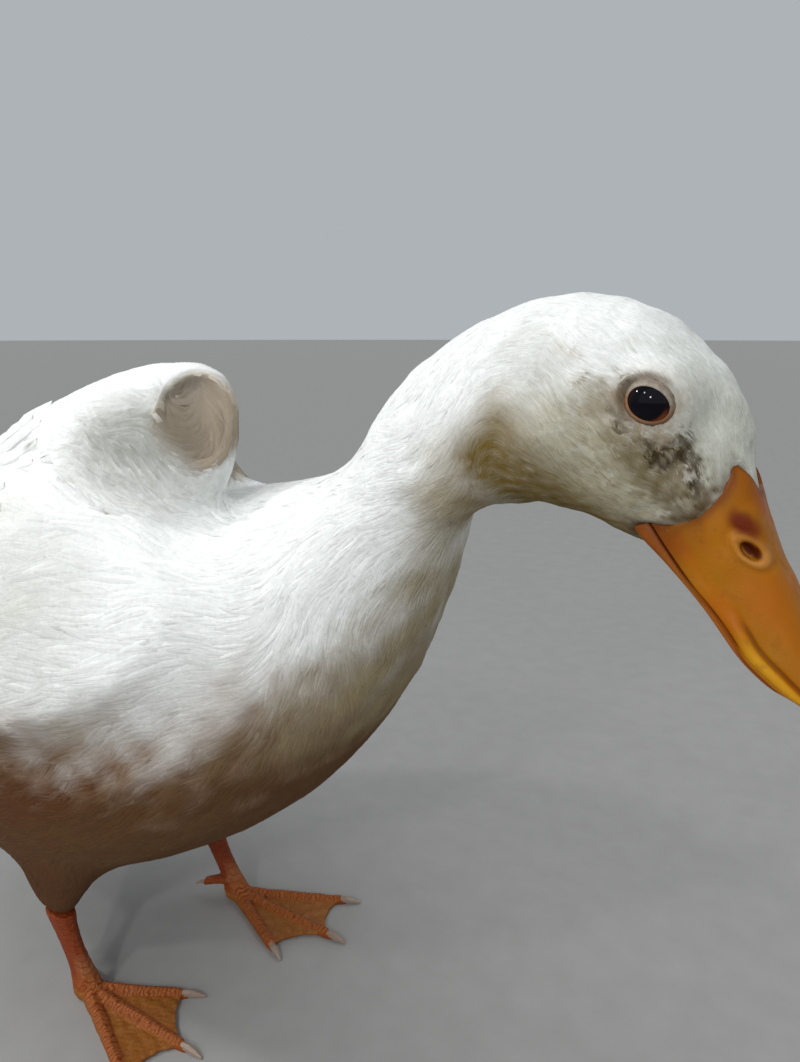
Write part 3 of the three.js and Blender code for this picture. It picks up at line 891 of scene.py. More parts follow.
def bill_colours(places):
    """The bill's amber, darker root and gape, yellow lip and nostril stains, and its painted shade."""
    forward, up, left = in_head(places).T
    aside = np.abs(left)
    height = up - curve(forward, UPPER_BILL, 2)
    broad = 0.5 + 0.5 * ripple(places, 20, 71)
    fine = 0.5 + 0.5 * ripple(places, 2.6, 72)
    amber = np.broadcast_to((0.365, 0.102, 0.001), places.shape)
    amber = blended(amber, broad, (0.34, 0.118, 0.001))
    amber = blended(amber, soft_step(forward + 5 * broad, 42, 28) * 0.75, (0.20, 0.046, 0.001))
    # Painted shade: the bill darker next to the feathers' edge, where they overhang it.
    amber = blended(amber, soft_step(before_lore(places), -3.0, -0.2) * 0.65, (0.14, 0.03, 0.003))
    off_groove = height - np.interp(forward, GROOVE_FORWARD, GROOVE_UP)
    lip = soft_step(forward, 54, 64) * soft_step(off_groove, -0.4, -1.0) * soft_step(height, 0.0, 0.8)
    amber = blended(amber, lip * 0.85, (0.52, 0.245, 0.006))
    # Painted shade: a dark line in the groove above the lip.
    groove = soft_step(forward, 53, 58) * np.exp(-((off_groove / 0.4) ** 2)) * soft_step(forward, 92, 86)
    amber = blended(amber, groove * 0.85, (0.13, 0.038, 0.004))
    shoulder = soft_step(off_groove, 7, 1) * soft_step(off_groove, 0, 0.6)
    amber = blended(amber, shoulder * 0.35, (0.26, 0.12, 0.002))
    gape = soft_step(forward, 48, 25) * soft_step(height, 2.6, -0.6)
    amber = blended(amber, gape * (0.8 + 0.2 * fine), (0.12, 0.026, 0.004))
    # Painted shade with some stain: darker under the lip's edge, and a dark line along the edge.
    amber = blended(amber, soft_step(height, 0.5, -0.2) * 0.5, (0.30, 0.085, 0.008))
    amber = blended(amber, np.exp(-(((height + 0.15) / 0.35) ** 2)) * 0.8, (0.11, 0.022, 0.003))
    along, across, ring = nostril_places(forward, up)
    stain = np.hypot((forward - 37.4) / 5.2, (up + 1.8) / 2.6) + 0.06 * ripple(places, 3.4, 73)
    beside = soft_step(aside, 3, 5) * (height > 4)
    amber = blended(amber, soft_step(stain, 1.35, 0.35) * beside * 0.95, (0.13, 0.013, 0.001))
    pale = soft_step(ring, 1.95, 1.6) * soft_step(ring, 1.0, 1.25) * beside
    amber = blended(amber, pale * (0.3 + 0.35 * soft_step(along - across, -1, 2)), (0.52, 0.24, 0.06))
    # Painted shade: near black in the nostril's dent.
    return blended(amber, soft_step(ring, 1.12, 0.8) * beside, (0.075, 0.010, 0.002))


bill_finish = Finish("bill_skin", Roughness=0.42, Specular_IOR_Level=0.16)
place = bill_finish.place()
marks_and_shading = bill_finish.node("Attribute", 0, {"attribute_name": "markings_and_shading"})
broad = bill_finish.noise(place, 45.0, 3.0)
fine = bill_finish.noise(place, 260.0, 4.0, 0.6)
worn = bill_finish.mixed(0.5, marks_and_shading, (0.16, 0.05, 0.004, 1))
wear = bill_finish.band(fine, 0.54, 0.74, 0, 0.6)
bill_finish.set(Base_Color=bill_finish.mixed(wear, marks_and_shading, worn))
bill_finish.set(Roughness=bill_finish.band(fine, 0.3, 0.7, 0.33, 0.5))
bill_finish.bump(bill_finish.noise(place, 1100.0, 4.0, 0.6) + broad * 2, 0.25, 0.0003)
for piece, node in ((upper_bill, "bill_upper"), (lower_bill, "bill_lower")):
    paint(piece.data, bill_colours(places_of(piece)))
    piece.data.materials.append(bill_finish.material)
    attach(piece, "root")
    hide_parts(node)

# ---- The lie of the coat ----
# Feathers lie from the bill back over the head, down the neck and along the trunk to the tail.
# On a lifted wing they run up and back from its lower front edge, then over it to the tip. The
# spine that they follow runs through the middles of the solids, from the rump to the bill.

SPINE = (
    ("rump", (1.0, 0, 0.3), 2),
    ("trunk", (1.0, 0, 0.4), 6),
    ("neck_lower", (0.6, 0, 0.8), 3),
    ("neck_upper", (0.8, -0.2, 0.6), 3),
    ("head", ALONG_BILL, 4),
)


def slices(node, axis, count):
    """The middles of a solid's slices along an axis."""
    corners = places_of(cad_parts[node])
    along = corners @ unit(np.array(axis))
    cuts = np.linspace(along.min(), along.max() + 1e-9, count + 1)
    pairs = zip(cuts, cuts[1:])
    return [corners[(along >= low) & (along < high)].mean(axis=0) for low, high in pairs]


knots = np.array([middle for node, axis, count in SPINE for middle in slices(node, axis, count)])
for _ in range(3):
    doubled = np.repeat(knots, 2, axis=0)
    rounded = 0.75 * doubled[1:-1] + 0.25 * np.roll(doubled, -1, axis=0)[1:-1]
    knots = np.concatenate([knots[:1], rounded, knots[-1:]])
places = places_of(skin)
normals = normals_of(skin)
head_places = in_head(places)
gaps = np.linalg.norm(places[:, None] - knots[None], axis=2)
weights = np.exp(-(((gaps - gaps.min(axis=1, keepdims=True)) / 0.006) ** 2))
backward = unit(knots[:-1] - knots[1:])
backward = np.concatenate([backward, backward[-1:]])
lie = unit(weights @ backward)

BILL_ROOT = from_head(34.0, -8.0, 0.0)
radial = unit(places - BILL_ROOT)
along_cheek = np.broadcast_to(-ALONG_BILL, places.shape)
share = (soft_step(head_places[:, 0], -30, -16) * is_in("head"))[:, None]
lie = unit(lie * (1 - share) + along_cheek * share)
share = soft_step(head_places[:, 0], 8, 24)[:, None] * is_in("head")[:, None]
lie = unit(lie * (1 - share) + radial * share)
OVER_WING = unit(np.array((-0.82, 0, 0.42)))
ALONG_WING = unit(np.array((-0.9, 0, -0.42)))
share = soft_step(-places[:, 0], -0.02, 0.05)[:, None]
over_wing = unit(OVER_WING * (1 - share) + ALONG_WING * share)
ALONG_SIDE = unit(np.array((-0.96, 0, -0.22)))
DOWN_THIGH = unit(np.array((-0.2, 0, -1.0)))
for nodes, way in ((WINGS, over_wing), (SIDES, ALONG_SIDE), (LIMBS, DOWN_THIGH)):
    lie = np.where(is_in(*nodes)[:, None], way, lie)


def flat_on(vectors, normals):
    return unit(vectors - normals * (vectors * normals).sum(axis=-1, keepdims=True))


# Round the hollow of a wing they follow its rim.
ring, across, up = in_pocket(places)
out_of = unit(across[:, None] * POCKET_ACROSS + up[:, None] * POCKET_UP)
turned_over = np.where(places[:, 1:2] > 0, (1, 1, 1), (1, -1, 1))
round_rim = np.cross(POCKET_FACING, out_of) * turned_over
share = soft_step(ring, 1.6, 1.15) * soft_step(across * 0.6 + up * 0.8, -0.95, -0.2)
share = (share * is_in(*WINGS, "trunk"))[:, None]
lie = unit(lie * (1 - share) + round_rim * share)
# The lie parts in front of each eye and closes again behind it.
out, round_angle = round_opening(places)
from_eye = head_places - (EYE_FORWARD, EYE_UP, 0)
away = unit(from_eye[:, :1] * ALONG_BILL + from_eye[:, 1:2] * TO_CROWN)
inward = (lie * away).sum(axis=1) * soft_step(out, 6.5, 1.5)
lie = np.where((out < 30)[:, None], unit(lie - 0.85 * away * inward[:, None]), lie)
lie = flat_on(lie, normals)
for _ in range(8):
    lie = flat_on(evened(lie, 2), normals)

# ---- The coat ----
# Small feathers, each a thin closed vane whose root is in the skin and whose tip lies on the
# ones behind it. They are short lancets on the face, silky strands on the neck and broader soft
# vanes on the trunk. Their tips are drawn together in small locks.

# Each part's feathers: their length and width and a lock's size in millimetres, and how many
# lie over any one point.
STYLE = {
    "head": (8.0, 0.95, 2.2, 6.0),
    "neck_upper": (14.0, 1.1, 3.2, 6.0),
    "neck_lower": (17.0, 1.5, 4.2, 5.5),
    "trunk": (20.0, 2.2, 5.5, 5.5),
    "rump": (20.0, 3.0, 7.0, 5.0),
    "thigh_right": (10.0, 1.5, 4.0, 5.0),
    "side_feathers_right": (22.0, 3.0, 8.0, 5.0),
    "wing_right": (14.0, 2.6, 5.0, 5.0),
}
for node in ("thigh_left", "side_feathers_left", "wing_left"):
    STYLE[node] = STYLE[node.replace("left", "right")]
style = evened(np.array([STYLE[node] for node in FLESH])[region], 24)
face = evened(soft_step(head_places[:, 0], -4, 22) * is_in("head"), 4)
out, round_angle = round_opening(places)
by_eye = soft_step(out, 9, 2)
length_at = style[:, 0] * (1 - 0.5 * face) * (1 - 0.5 * by_eye)
width_at = style[:, 1] * (1 - 0.2 * face) * (1 - 0.35 * by_eye)
lock_at = style[:, 2] * (1 - 0.3 * face)
overlap_at = style[:, 3]


def quads_of(piece):
    return read(piece.data.polygons, "vertices", 4, int)


faces = quads_of(skin)
areas = read(skin.data.polygons, "area", 1)[:, 0]
areas /= MM * MM
face_middles = places[faces].mean(axis=1)
bare = (before_lore(face_middles) < -1.0) & (in_head(face_middles)[:, 0] > 5)
out, round_angle = round_opening(face_middles)
bare |= out < lid_width_at(round_angle) - 0.3
skin_tree = tree_of(skin)

edit_all(skin, bpy.ops.uv.smart_project, angle_limit=math.radians(66), island_margin=0.003)
skin.data.uv_layers[0].name = "OFBake"
skin_uv = read(skin.data.uv_layers[0].data, "uv", 2).reshape(-1, 4, 2)


def sown(per_mm2, seed):
    """Random points on the skin's faces: their face, their place and their place on the unwrap."""
    random = np.random.default_rng(seed)
    count = np.floor(per_mm2 * areas * ~bare + random.random(len(areas))).astype(int)
    face = np.repeat(np.arange(len(areas)), count)
    s, t = random.random((2, len(face), 1))
    weights = np.concatenate([(1 - s) * (1 - t), s * (1 - t), s * t, (1 - s) * t], axis=1)
    weights = weights[..., None]
    place = (places[faces[face]] * weights).sum(axis=1)
    return face, place, (skin_uv[face] * weights).sum(axis=1)


def at_face(values, face):
    """The mean of a value over each face's corners."""
    return values[faces[face]].mean(axis=1)


def turned(ways, normals, angles):
    return ways * np.cos(angles)[:, None] + np.cross(normals, ways) * np.sin(angles)[:, None]


def laid(face, start, lengths, steps, angles):
    """Lines over the skin that follow the lie: their points and the skin's normals and depth there."""
    line = [start]
    upright = [unit(at_face(normals, face))]
    depth = [at_face(coat, face)]
    for _ in range(steps):
        way = flat_on(at_face(lie, face), upright[-1])
        way = turned(way, upright[-1], angles)
        aim = line[-1] + way * (lengths / steps * MM)[:, None]
        found = [skin_tree.find_nearest(place) for place in aim]
        line.append(np.array([hit[0] for hit in found]))
        face = np.array([hit[2] for hit in found])
        upright.append(unit(at_face(normals, face)))
        depth.append(at_face(coat, face))
    return np.stack(line, 1), np.stack(upright, 1), np.stack(depth, 1)


# How wide a feather's patch of the skin's unwrap is, and the angle above which an edge is sharp.
PATCH = 0.003
EDGE_ANGLE = math.radians(60)
# A vane's width at each of its sections, and its thickness, as shares of its full width.
VANE_WIDTHS = (0.55, 1.0, 0.8)
VANE_THICK = 0.05
VANE_STEPS = len(VANE_WIDTHS)


def feathers(name, points, one, local, patch, spread, colours, finish):
    """One piece of many closed feathers of one make: the points of each, and the faces of one."""
    count, each = points.shape[:2]
    pattern = np.concatenate(one)
    sizes = np.tile([len(face) for face in one], count)
    loops = (pattern[None] + each * np.arange(count)[:, None]).ravel()
    mesh = bpy.data.meshes.new(name)
    mesh.vertices.add(count * each)
    mesh.vertices.foreach_set("co", points.ravel())
    mesh.loops.add(len(loops))
    mesh.loops.foreach_set("vertex_index", loops)
    mesh.polygons.add(len(sizes))
    mesh.polygons.foreach_set("loop_start", np.cumsum(sizes) - sizes)
    mesh.update(calc_edges=True)
    local = np.tile(local[pattern], (count, 1, 1))
    baked = patch[:, None] + spread * (local - 0.5)
    mesh.uv_layers.new(name="OFBake").data.foreach_set("uv", baked.ravel())
    mesh.uv_layers.new(name="vane").data.foreach_set("uv", local.ravel())
    paint(mesh, colours)
    piece = placed(mesh)
    mesh.set_sharp_from_angle(angle=EDGE_ANGLE)
    mesh.materials.append(finish.material)
    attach(piece, "root")
    return piece


def vanes(name, line, upright, width, rise, patch, colour):
    """One mesh of closed vanes: each has sections of two edges and a ridge, and a pointed tip."""
    sections = VANE_STEPS
    ahead = np.gradient(line, axis=1)
    side = unit(np.cross(upright, ahead))
    raised = line + upright * rise[..., None] * MM
    half = 0.5 * width[:, None, None] * np.array(VANE_WIDTHS)[None, :, None] * MM
    body = raised[:, :sections]
    ridge = body + upright[:, :sections] * (VANE_THICK * width)[:, None, None] * MM
    droop = upright[:, :sections] * half * 0.28
    left = body + side[:, :sections] * half - droop
    right = body - side[:, :sections] * half - droop
    points = np.stack([left, ridge, right], axis=2).reshape(len(line), sections * 3, 3)
    points = np.concatenate([points, raised[:, -1:]], axis=1)
    quads = []
    for s in range(0, (sections - 1) * 3, 3):
        quads += [(s, s + 1, s + 4, s + 3), (s + 1, s + 2, s + 5, s + 4), (s + 2, s, s + 3, s + 5)]
    last = (sections - 1) * 3
    tip = sections * 3
    corners = [(0, 2, 1), (last, last + 1, tip), (last + 1, last + 2, tip), (last + 2, last, tip)]
    across = np.append(np.tile((0.0, 0.5, 1.0), sections), 0.5)
    along = np.append(np.repeat(np.arange(sections) / sections, 3), 1.0)
    local = np.stack([across, along], axis=1)
    coloured = np.concatenate([np.repeat(colour[:, :sections], 3, axis=1), colour[:, -1:]], axis=1)
    feathers(name, points, quads + corners, local, patch, PATCH, coloured, plumage)


# The markings and painted shade are worked out once for a place and the way the coat faces
# there, and both the skin and the vanes are painted with them. Colours are shares of red, green
# and blue light.
WHITE = np.array((0.80, 0.815, 0.80))
OLIVE = np.array((0.33, 0.27, 0.155))
BROWN = np.array((0.24, 0.155, 0.10))
UMBER = np.array((0.042, 0.027, 0.012))
BEIGE = np.array((0.56, 0.51, 0.39))
LICHEN = np.array((0.50, 0.48, 0.33))
HEAD_SPOTS_AND_SHADE = (
    # forward, up and aside of its middle, its half sizes, its colour and how strong it is
    ((6, -14, 19), (23, 12, 14), (0.36, 0.325, 0.21), 0.9),
    ((-12, -18, 22), (13, 10, 9), (0.46, 0.43, 0.34), 0.45),
    # Grey on the forehead and brow: partly stain, partly painted shade.
    ((18, 7, 12), (13, 13, 15), (0.50, 0.505, 0.42), 0.7),
    ((24, -8, 12), (7, 8, 9), BEIGE, 0.6),
    # Grey over the brow: partly stain, partly painted shade.
    ((4, 13, 13), (10, 7, 8), (0.52, 0.535, 0.48), 0.6),
    ((-28, -9, 22), (11, 8, 9), (0.56, 0.57, 0.53), 0.65),
    ((14.5, -4.6, 17), (16.5, 7.6, 9), (0.20, 0.155, 0.08), 0.95),
    ((-6, -3, 22), (6.5, 5.5, 6), (0.30, 0.25, 0.17), 0.8),
    ((-4.6, 0.6, 21), (1.6, 4.0, 4), BROWN, 0.8),
    ((0.4, -3.4, 21), (2.6, 1.8, 4), UMBER, 0.95),
    ((-3.2, -2.6, 21), (1.6, 1.4, 4), UMBER, 0.6),
    ((9.4, -2.8, 18), (5.0, 1.8, 4), UMBER, 1.0),
    ((14.0, -4.4, 18), (3.4, 1.6, 4), UMBER, 1.0),
    ((12.8, 3.6, 17), (3.0, 1.7, 4), UMBER, 0.95),
    ((17.2, 0.2, 16), (3.6, 2.2, 4), UMBER, 1.0),
    ((23.8, -3.2, 13), (2.4, 3.2, 4), UMBER, 1.0),
    ((10.4, 0.3, 18), (2.3, 1.2, 4), (0.36, 0.27, 0.19), 0.9),
    ((20.8, -1.9, 15), (2.4, 1.5, 4), (0.56, 0.53, 0.47), 0.95),
    ((-21, -1.6, 20), (4.5, 1.5, 6), (0.50, 0.44, 0.35), 0.6),
    ((22.0, -10.5, 14), (5.5, 2.2, 6), (0.10, 0.075, 0.035), 0.7),
    ((5.0, -8.0, 20), (6.0, 1.3, 5), (0.16, 0.125, 0.065), 0.55),
    ((13.5, -9.5, 18), (5.0, 1.2, 5), (0.14, 0.11, 0.055), 0.6),
    # Painted shadow under the ridge at the rear edge of the cheek's pad.
    ((-27, -23, 21), (1.6, 6, 6), (0.40, 0.36, 0.28), 0.45),
)
BODY_SPOTS_AND_SHADE = (
    ((103.5, 29.4, 169), (3.5, 5, 3), BROWN, 0.6),
    ((99, 38, 171), (3, 4, 2.5), BROWN, 0.5),
    ((96.6, 33.4, 161), (4.5, 6, 3.5), BROWN, 0.7),
    ((83.7, 44.6, 154), (4, 5, 3.5), BROWN, 0.75),
    ((83.6, 33.9, 143), (6, 7, 4), BROWN, 0.6),
    ((89.6, 22, 146), (4, 8, 3.5), BROWN, 0.65),
    ((76, 57.4, 167), (3.5, 5, 2.5), BROWN, 0.35),
    ((73, 53.6, 151), (4, 5, 5), BROWN, 0.55),
    ((59.5, 60.4, 146), (2.5, 4, 4), BROWN, 0.65),
    ((110, 27.4, 180), (5, 6, 4), OLIVE, 0.6),
    ((118, 20, 198), (6, 9, 8), OLIVE, 0.5),
    ((67.8, 43, 131), (5, 6, 4), BROWN, 0.6),
    ((40, 62, 122), (9, 9, 4), BROWN, 0.45),
    ((22.7, 81.8, 166), (9, 9, 7), (0.45, 0.42, 0.35), 0.45),
    ((-8.6, 77.6, 139), (6, 9, 4), BROWN, 0.55),
    ((2, 77, 206), (10, 14, 8), LICHEN, 0.6),
    ((-13, 76, 196), (12, 14, 9), LICHEN, 0.5),
    ((-22, 60, 232), (9, 14, 8), (0.62, 0.60, 0.52), 0.4),
    # Painted shadow: the top of the wing greyed, darkest in its middle.
    ((24, 44, 257), (35, 20, 19), (0.34, 0.345, 0.315), 0.85),
    ((26, 44, 260), (22, 14, 10), (0.25, 0.255, 0.23), 0.75),
    ((0, 76, 206), (32, 22, 34), (0.60, 0.61, 0.585), 0.85),
)


def markings_and_shading(places, facing):
    """The coat's colour and painted shade at each place, from the place and the way it faces there."""
    shape = places.shape
    places, facing = places.reshape(-1, 3), facing.reshape(-1, 3)
    x, y, z = (places / MM).T
    forward, up, left = in_head(places).T
    aside = np.abs(left)
    colour = np.broadcast_to(WHITE, places.shape).copy()
    colour *= 1 + 0.025 * ripple(places, 9, 41)[:, None]
    patchy = 0.5 + 0.5 * ripple(places, 14, 42)
    streaky = 0.5 + 0.5 * ripple(places, 3.2, 43)
    is_head = soft_step(forward, -34, -20) * soft_step(up, -56, -40)
    is_neck = (1 - is_head) * soft_step(z, 180, 205) * (x > 60)
    lower_front = soft_step(x, 50, 80)
    is_low = soft_step(z - 18 * lower_front + 4 * ripple(places, 11, 44), 187, 139)
    # The under side of the body, the throat and the neck's under side, in painted shade and stain.
    # Painted shade: the lower front of the body is greyed.
    low_front_shade = (1 - is_head) * soft_step(z, 205, 165) * soft_step(x, 50, 95)
    colour = blended(colour, low_front_shade * 0.5, (0.55, 0.50, 0.42))
    # Painted shade with brown stain: the lower body brown, and the belly dark brown.
    low_shade_and_stain = (1 - is_head) * is_low * soft_step(x, -110, -50)
    colour = blended(colour, low_shade_and_stain * (0.82 + 0.18 * patchy), (0.225, 0.142, 0.085))
    is_lowest = soft_step(z - 27 * lower_front + 5 * ripple(places, 9, 45), 154, 126)
    colour = blended(colour, low_shade_and_stain * is_lowest * 0.97, (0.087, 0.027, 0.007))
    # Painted shade: darker brown where the coat faces down.
    under = soft_step(-facing[:, 2] - 0.15 * soft_step(z, 190, 215), -0.05, 0.75)
    under *= np.maximum(soft_step(z, 230, 190), x > 60)
    under *= 0.2 + 0.8 * soft_step(x, -125, -70)
    colour = blended(colour, under * (1 - is_head) * (0.8 + 0.2 * patchy), (0.13, 0.068, 0.03))
    # Olive stain on the breast, painted darker where it faces forward and down, as painted shade.
    front = soft_step(facing[:, 0] - 0.6 * facing[:, 2], 0.5, 1.05) * (x > 60) * (1 - is_head)
    front *= soft_step(z, 234, 214) * soft_step(z, 140, 166)
    colour = blended(colour, front * (0.5 + 0.3 * patchy), OLIVE)
    # Painted shade, yellow-brown, where the neck faces down.
    neck_under_shade = is_neck * soft_step(x, 120, 134) * soft_step(facing[:, 2], 0.1, -0.5)
    colour = blended(colour, neck_under_shade * 0.5, (0.42, 0.35, 0.18))
    # Painted shade, grey, where the head faces forward towards the bill.
    head_front_shade = is_head * soft_step(facing @ ALONG_BILL, -0.35, 0.55)
    colour = blended(colour, head_front_shade * 0.55, (0.52, 0.53, 0.45))
    # The throat is painted dark yellow-brown, for brown stain and painted shade.
    throat = soft_step(up, -13, -26) * is_head
    colour = blended(colour, throat * (0.88 + 0.12 * streaky), (0.155, 0.10, 0.018))
    # The thighs are painted dark brown low down, for brown down and for painted shade under the
    # body, and the spots have ragged edges.
    thigh = soft_step(z, 86, 60) * (x < 0) * (x > -80)
    colour = blended(colour, thigh * 0.6, (0.095, 0.042, 0.02))
    ragged = ripple(places, 1.9, 51) + ripple(places, 5.0, 53)
    ragged = np.stack([ragged, ripple(places, 2.1, 52), 0 * x], axis=1)
    for spots_and_shade, axes in ((HEAD_SPOTS_AND_SHADE, (forward, up, aside)), (BODY_SPOTS_AND_SHADE, (x, np.abs(y), z))):
        wobble = np.stack(axes, 1) + ragged
        for middle, sizes, tint, strength in spots_and_shade:
            share = np.linalg.norm((wobble - middle) / np.array(sizes, float), axis=1)
            spread = 0.35 if max(sizes) < 5 else 0.5
            inside = soft_step(share, 1 + spread, 1 - spread)
            colour = blended(colour, inside * strength * (0.75 + 0.25 * streaky), tint)
    # Fine streaks on the cheek and throat, dirt and painted shade along the bill's edge, and painted
    # shade in the crease over the eye.
    thin = soft_step(ripple(places, 1.5, 46) + 0.6 * ripple(places, 4.5, 47), 0.25, 1.0)
    dirty = is_head * soft_step(up, 2, -10) * soft_step(forward, -26, 0)
    colour = blended(colour, thin * dirty * 0.42, (0.18, 0.145, 0.08))
    edge = before_lore(places)
    low_edge = 0.3 + 0.7 * soft_step(up, 8, -4)
    at_bill = (forward > 10) * (z > 225) * low_edge
    # Dirt with painted shade along the edge where the feathers meet the bill.
    edge_dirt_and_shade = soft_step(edge, 5.4, 0.8) * at_bill
    colour = blended(colour, edge_dirt_and_shade * (0.72 + 0.28 * streaky), (0.10, 0.062, 0.026))
    at_gape = soft_step(edge, 1.2, 0.2) * at_bill * soft_step(up, -12, -20)
    colour = blended(colour, at_gape * 0.8, (0.10, 0.022, 0.006))
    out, round_angle = round_opening(places)
    beyond = out - lid_width_at(round_angle)
    # Painted shade in the crease round the lid, strongest at its rear.
    ring = soft_step(beyond, 2.3, 1.0)
    ring = ring * (0.4 + 0.6 * soft_step(np.cos(round_angle - 2.9), -0.5, 0.6))
    halo = soft_step(beyond, 5.5, 1.0) * 0.45
    colour = blended(colour, halo * (0.6 + 0.4 * streaky), (0.50, 0.43, 0.34))
    colour = blended(colour, ring * 0.8, (0.12, 0.08, 0.045))
    # The hollow of the wing, darker low down, and painted shadow along the crease under it.
    pocket, across, height = in_pocket(places)
    inside = soft_step(pocket, 1.03, 0.9)
    inside = inside * soft_step(across * 0.6 + height * 0.8, -0.95, -0.35) * (z > 200)
    colour = blended(colour, inside * 0.92, (0.175, 0.138, 0.096))
    bead = np.exp(-(((pocket - 0.93) / 0.035) ** 2)) * soft_step(height, -0.2, 0.2)
    colour = blended(colour, bead * 0.8 * (z > 200), (0.72, 0.69, 0.61))
    colour = blended(colour, inside * soft_step(across, -0.1, 0.6) * 0.5, (0.42, 0.34, 0.25))
    # Painted shadow: a dark line along the crease under the wing's lower edge.
    crease = soft_step(from_line(as_on_right(places), WING_CREASE), 1.4, 0.4) * (z > 200)
    colour = blended(colour, crease * 0.75, (0.16, 0.14, 0.12))
    return np.clip(colour, 0.01, 1).reshape(shape)


plumage = Finish("plumage", Roughness=0.8, Specular_IOR_Level=0.08)
marks_and_shading = plumage.node("Attribute", 0, {"attribute_name": "markings_and_shading"})
grain = plumage.noise(plumage.place(), 650.0, 4.0, 0.6)
vane_map = plumage.node("UVMap", 0, {"uv_map": "vane"})
streaked = plumage.node("Mapping", 0, i0=vane_map, Scale=(7.0, 0.8, 1.0))
far = plumage.node("VectorMath", 0, {"operation": "SCALE"}, i0=plumage.place(), Scale=220.0)
strands = plumage.node("VectorMath", 0, {"operation": "ADD"}, i0=streaked, i1=far)
plumage.bump(plumage.noise(strands, 1.0, 2.0, 0.6), 0.35, 0.0005)
grain = plumage.band(grain, 0.35, 0.75, 0, 0.11)
plumage.set(Base_Color=plumage.mixed(grain, marks_and_shading, (0.10, 0.08, 0.05, 1)))
paint(skin.data, markings_and_shading(places, normals))
skin.data.materials.append(plumage.material)

# The locks. Where the wet feathers under the eye stand up in rough tufts, the middle and half
# sizes of the place are in the head's millimetres.
LOCK_SEED = 11
MATTED_MIDDLE = (11.0, -3.5, 17.0)
MATTED_SIZE = np.array((15.0, 6.5, 9.0))
lock_face, lock_start, _ = sown(1.2 / lock_at[faces].mean(axis=1) ** 2, LOCK_SEED)
random = np.random.default_rng(LOCK_SEED)
lock_angles = np.radians(random.normal(0, 5, len(lock_face)) + 9 * ripple(lock_start, 16, 3))
matted = in_head(lock_start)
matted[:, 2] = np.abs(matted[:, 2])
matted = np.linalg.norm((matted - MATTED_MIDDLE) / MATTED_SIZE, axis=1)
matted = soft_step(matted, 1.2, 0.6)
lock_angles += matted * np.radians(random.normal(0, 20, len(lock_face)))
lock_length = at_face(length_at, lock_face) * 1.1
lock_line, _, _ = laid(lock_face, lock_start, lock_length, VANE_STEPS, lock_angles)

lock_finder = KDTree(len(lock_start))
for i, place in enumerate(lock_start):
    lock_finder.insert(place, i)
lock_finder.balance()

# The vanes. Each follows the lie, is drawn towards the nearest lock, more so at its tip, and rises
# out of the skin and back on to the ones behind it.
VANE_SEED = 12
DRAWN = np.array((0.0, 0.12, 0.3, 0.45))[None, :, None]
RISE = np.array((-0.35, 0.2, 0.42, 0.14))[None]
at_edge = soft_step(before_lore(places), 4, 1) * (head_places[:, 0] > 8)
per_mm2 = overlap_at / (0.62 * length_at * width_at) * (1 + 3 * at_edge)
vane_face, vane_start, vane_patch = sown(per_mm2[faces].mean(axis=1), VANE_SEED)
random = np.random.default_rng(VANE_SEED)
vane_length = at_face(length_at, vane_face) * random.uniform(0.75, 1.2, len(vane_face))
nearest = np.array([lock_finder.find(place)[1] for place in vane_start])
vane_angles = lock_angles[nearest] + np.radians(random.normal(0, 4, len(vane_face)))
vane_line, vane_upright, vane_depth = laid(
    vane_face, vane_start, vane_length, VANE_STEPS, vane_angles
)
vane_line = vane_line + DRAWN * (lock_line[nearest] - vane_line)
lock_lift = random.uniform(0.75, 1.1, len(lock_face))
lock_lift = (lock_lift + matted * random.uniform(0, 2.4, len(lock_face)))[nearest]
vane_lift = lock_lift * random.uniform(0.9, 1.08, len(vane_face))
vane_rise = vane_depth * RISE * vane_lift[:, None]
vane_width = at_face(width_at, vane_face) * random.uniform(0.8, 1.25, len(vane_face))
vane_colour = markings_and_shading(vane_line, vane_upright)
vane_colour *= 1 + 0.05 * random.normal(size=(len(vane_face), 1, 1))

# The coat's pieces, by the solids that their vanes start on. Where there are more vanes than one
# piece takes, they are shared out from the right side to the left.
PIECES = {
    "coat_head": ("head",),
    "coat_neck": ("neck_upper", "neck_lower"),
    "coat_trunk": ("trunk", "rump") + LIMBS,
    "coat_sides": SIDES,
    "coat_wings": WINGS,
}
MOST_VANES = 12000
vane_region = region[faces[vane_face][:, 0]]
for name, nodes in PIECES.items():
    chosen = np.flatnonzero(np.isin(vane_region, [FLESH.index(node) for node in nodes]))
    parts = -(-len(chosen) // MOST_VANES)
    order = np.argsort(vane_start[chosen, 1], kind="stable")
    for number, part in enumerate(np.array_split(chosen[order], parts)):
        vanes(
            f"{name}_{number + 1}",
            vane_line[part],
            vane_upright[part],
            vane_width[part],
            vane_rise[part],
            vane_patch[part],
            np.clip(vane_colour[part], 0.01, 0.95),
        )

# ---- Flight feathers and tail ----
# Long stiff feathers, each with a shaft and a web of barbs on both sides that keeps its shape.
# They overlap like shingles over the folded wing's blade, and as a fan over the tail.

# A quill's section from edge to edge over the shaft: how far across and how high each point is, as
# shares of its half width, and its thickness in millimetres.
QUILL_SECTIONS = 14
QUILL_ACROSS = np.array((-1.0, -0.62, -0.06, 0.0, 0.06, 0.62, 1.0))
QUILL_HEIGHT = np.array((-0.10, -0.02, 0.0, 0.030, 0.0, -0.02, -0.10))
QUILL_THICK = 0.35
QUILL_SEED = 71


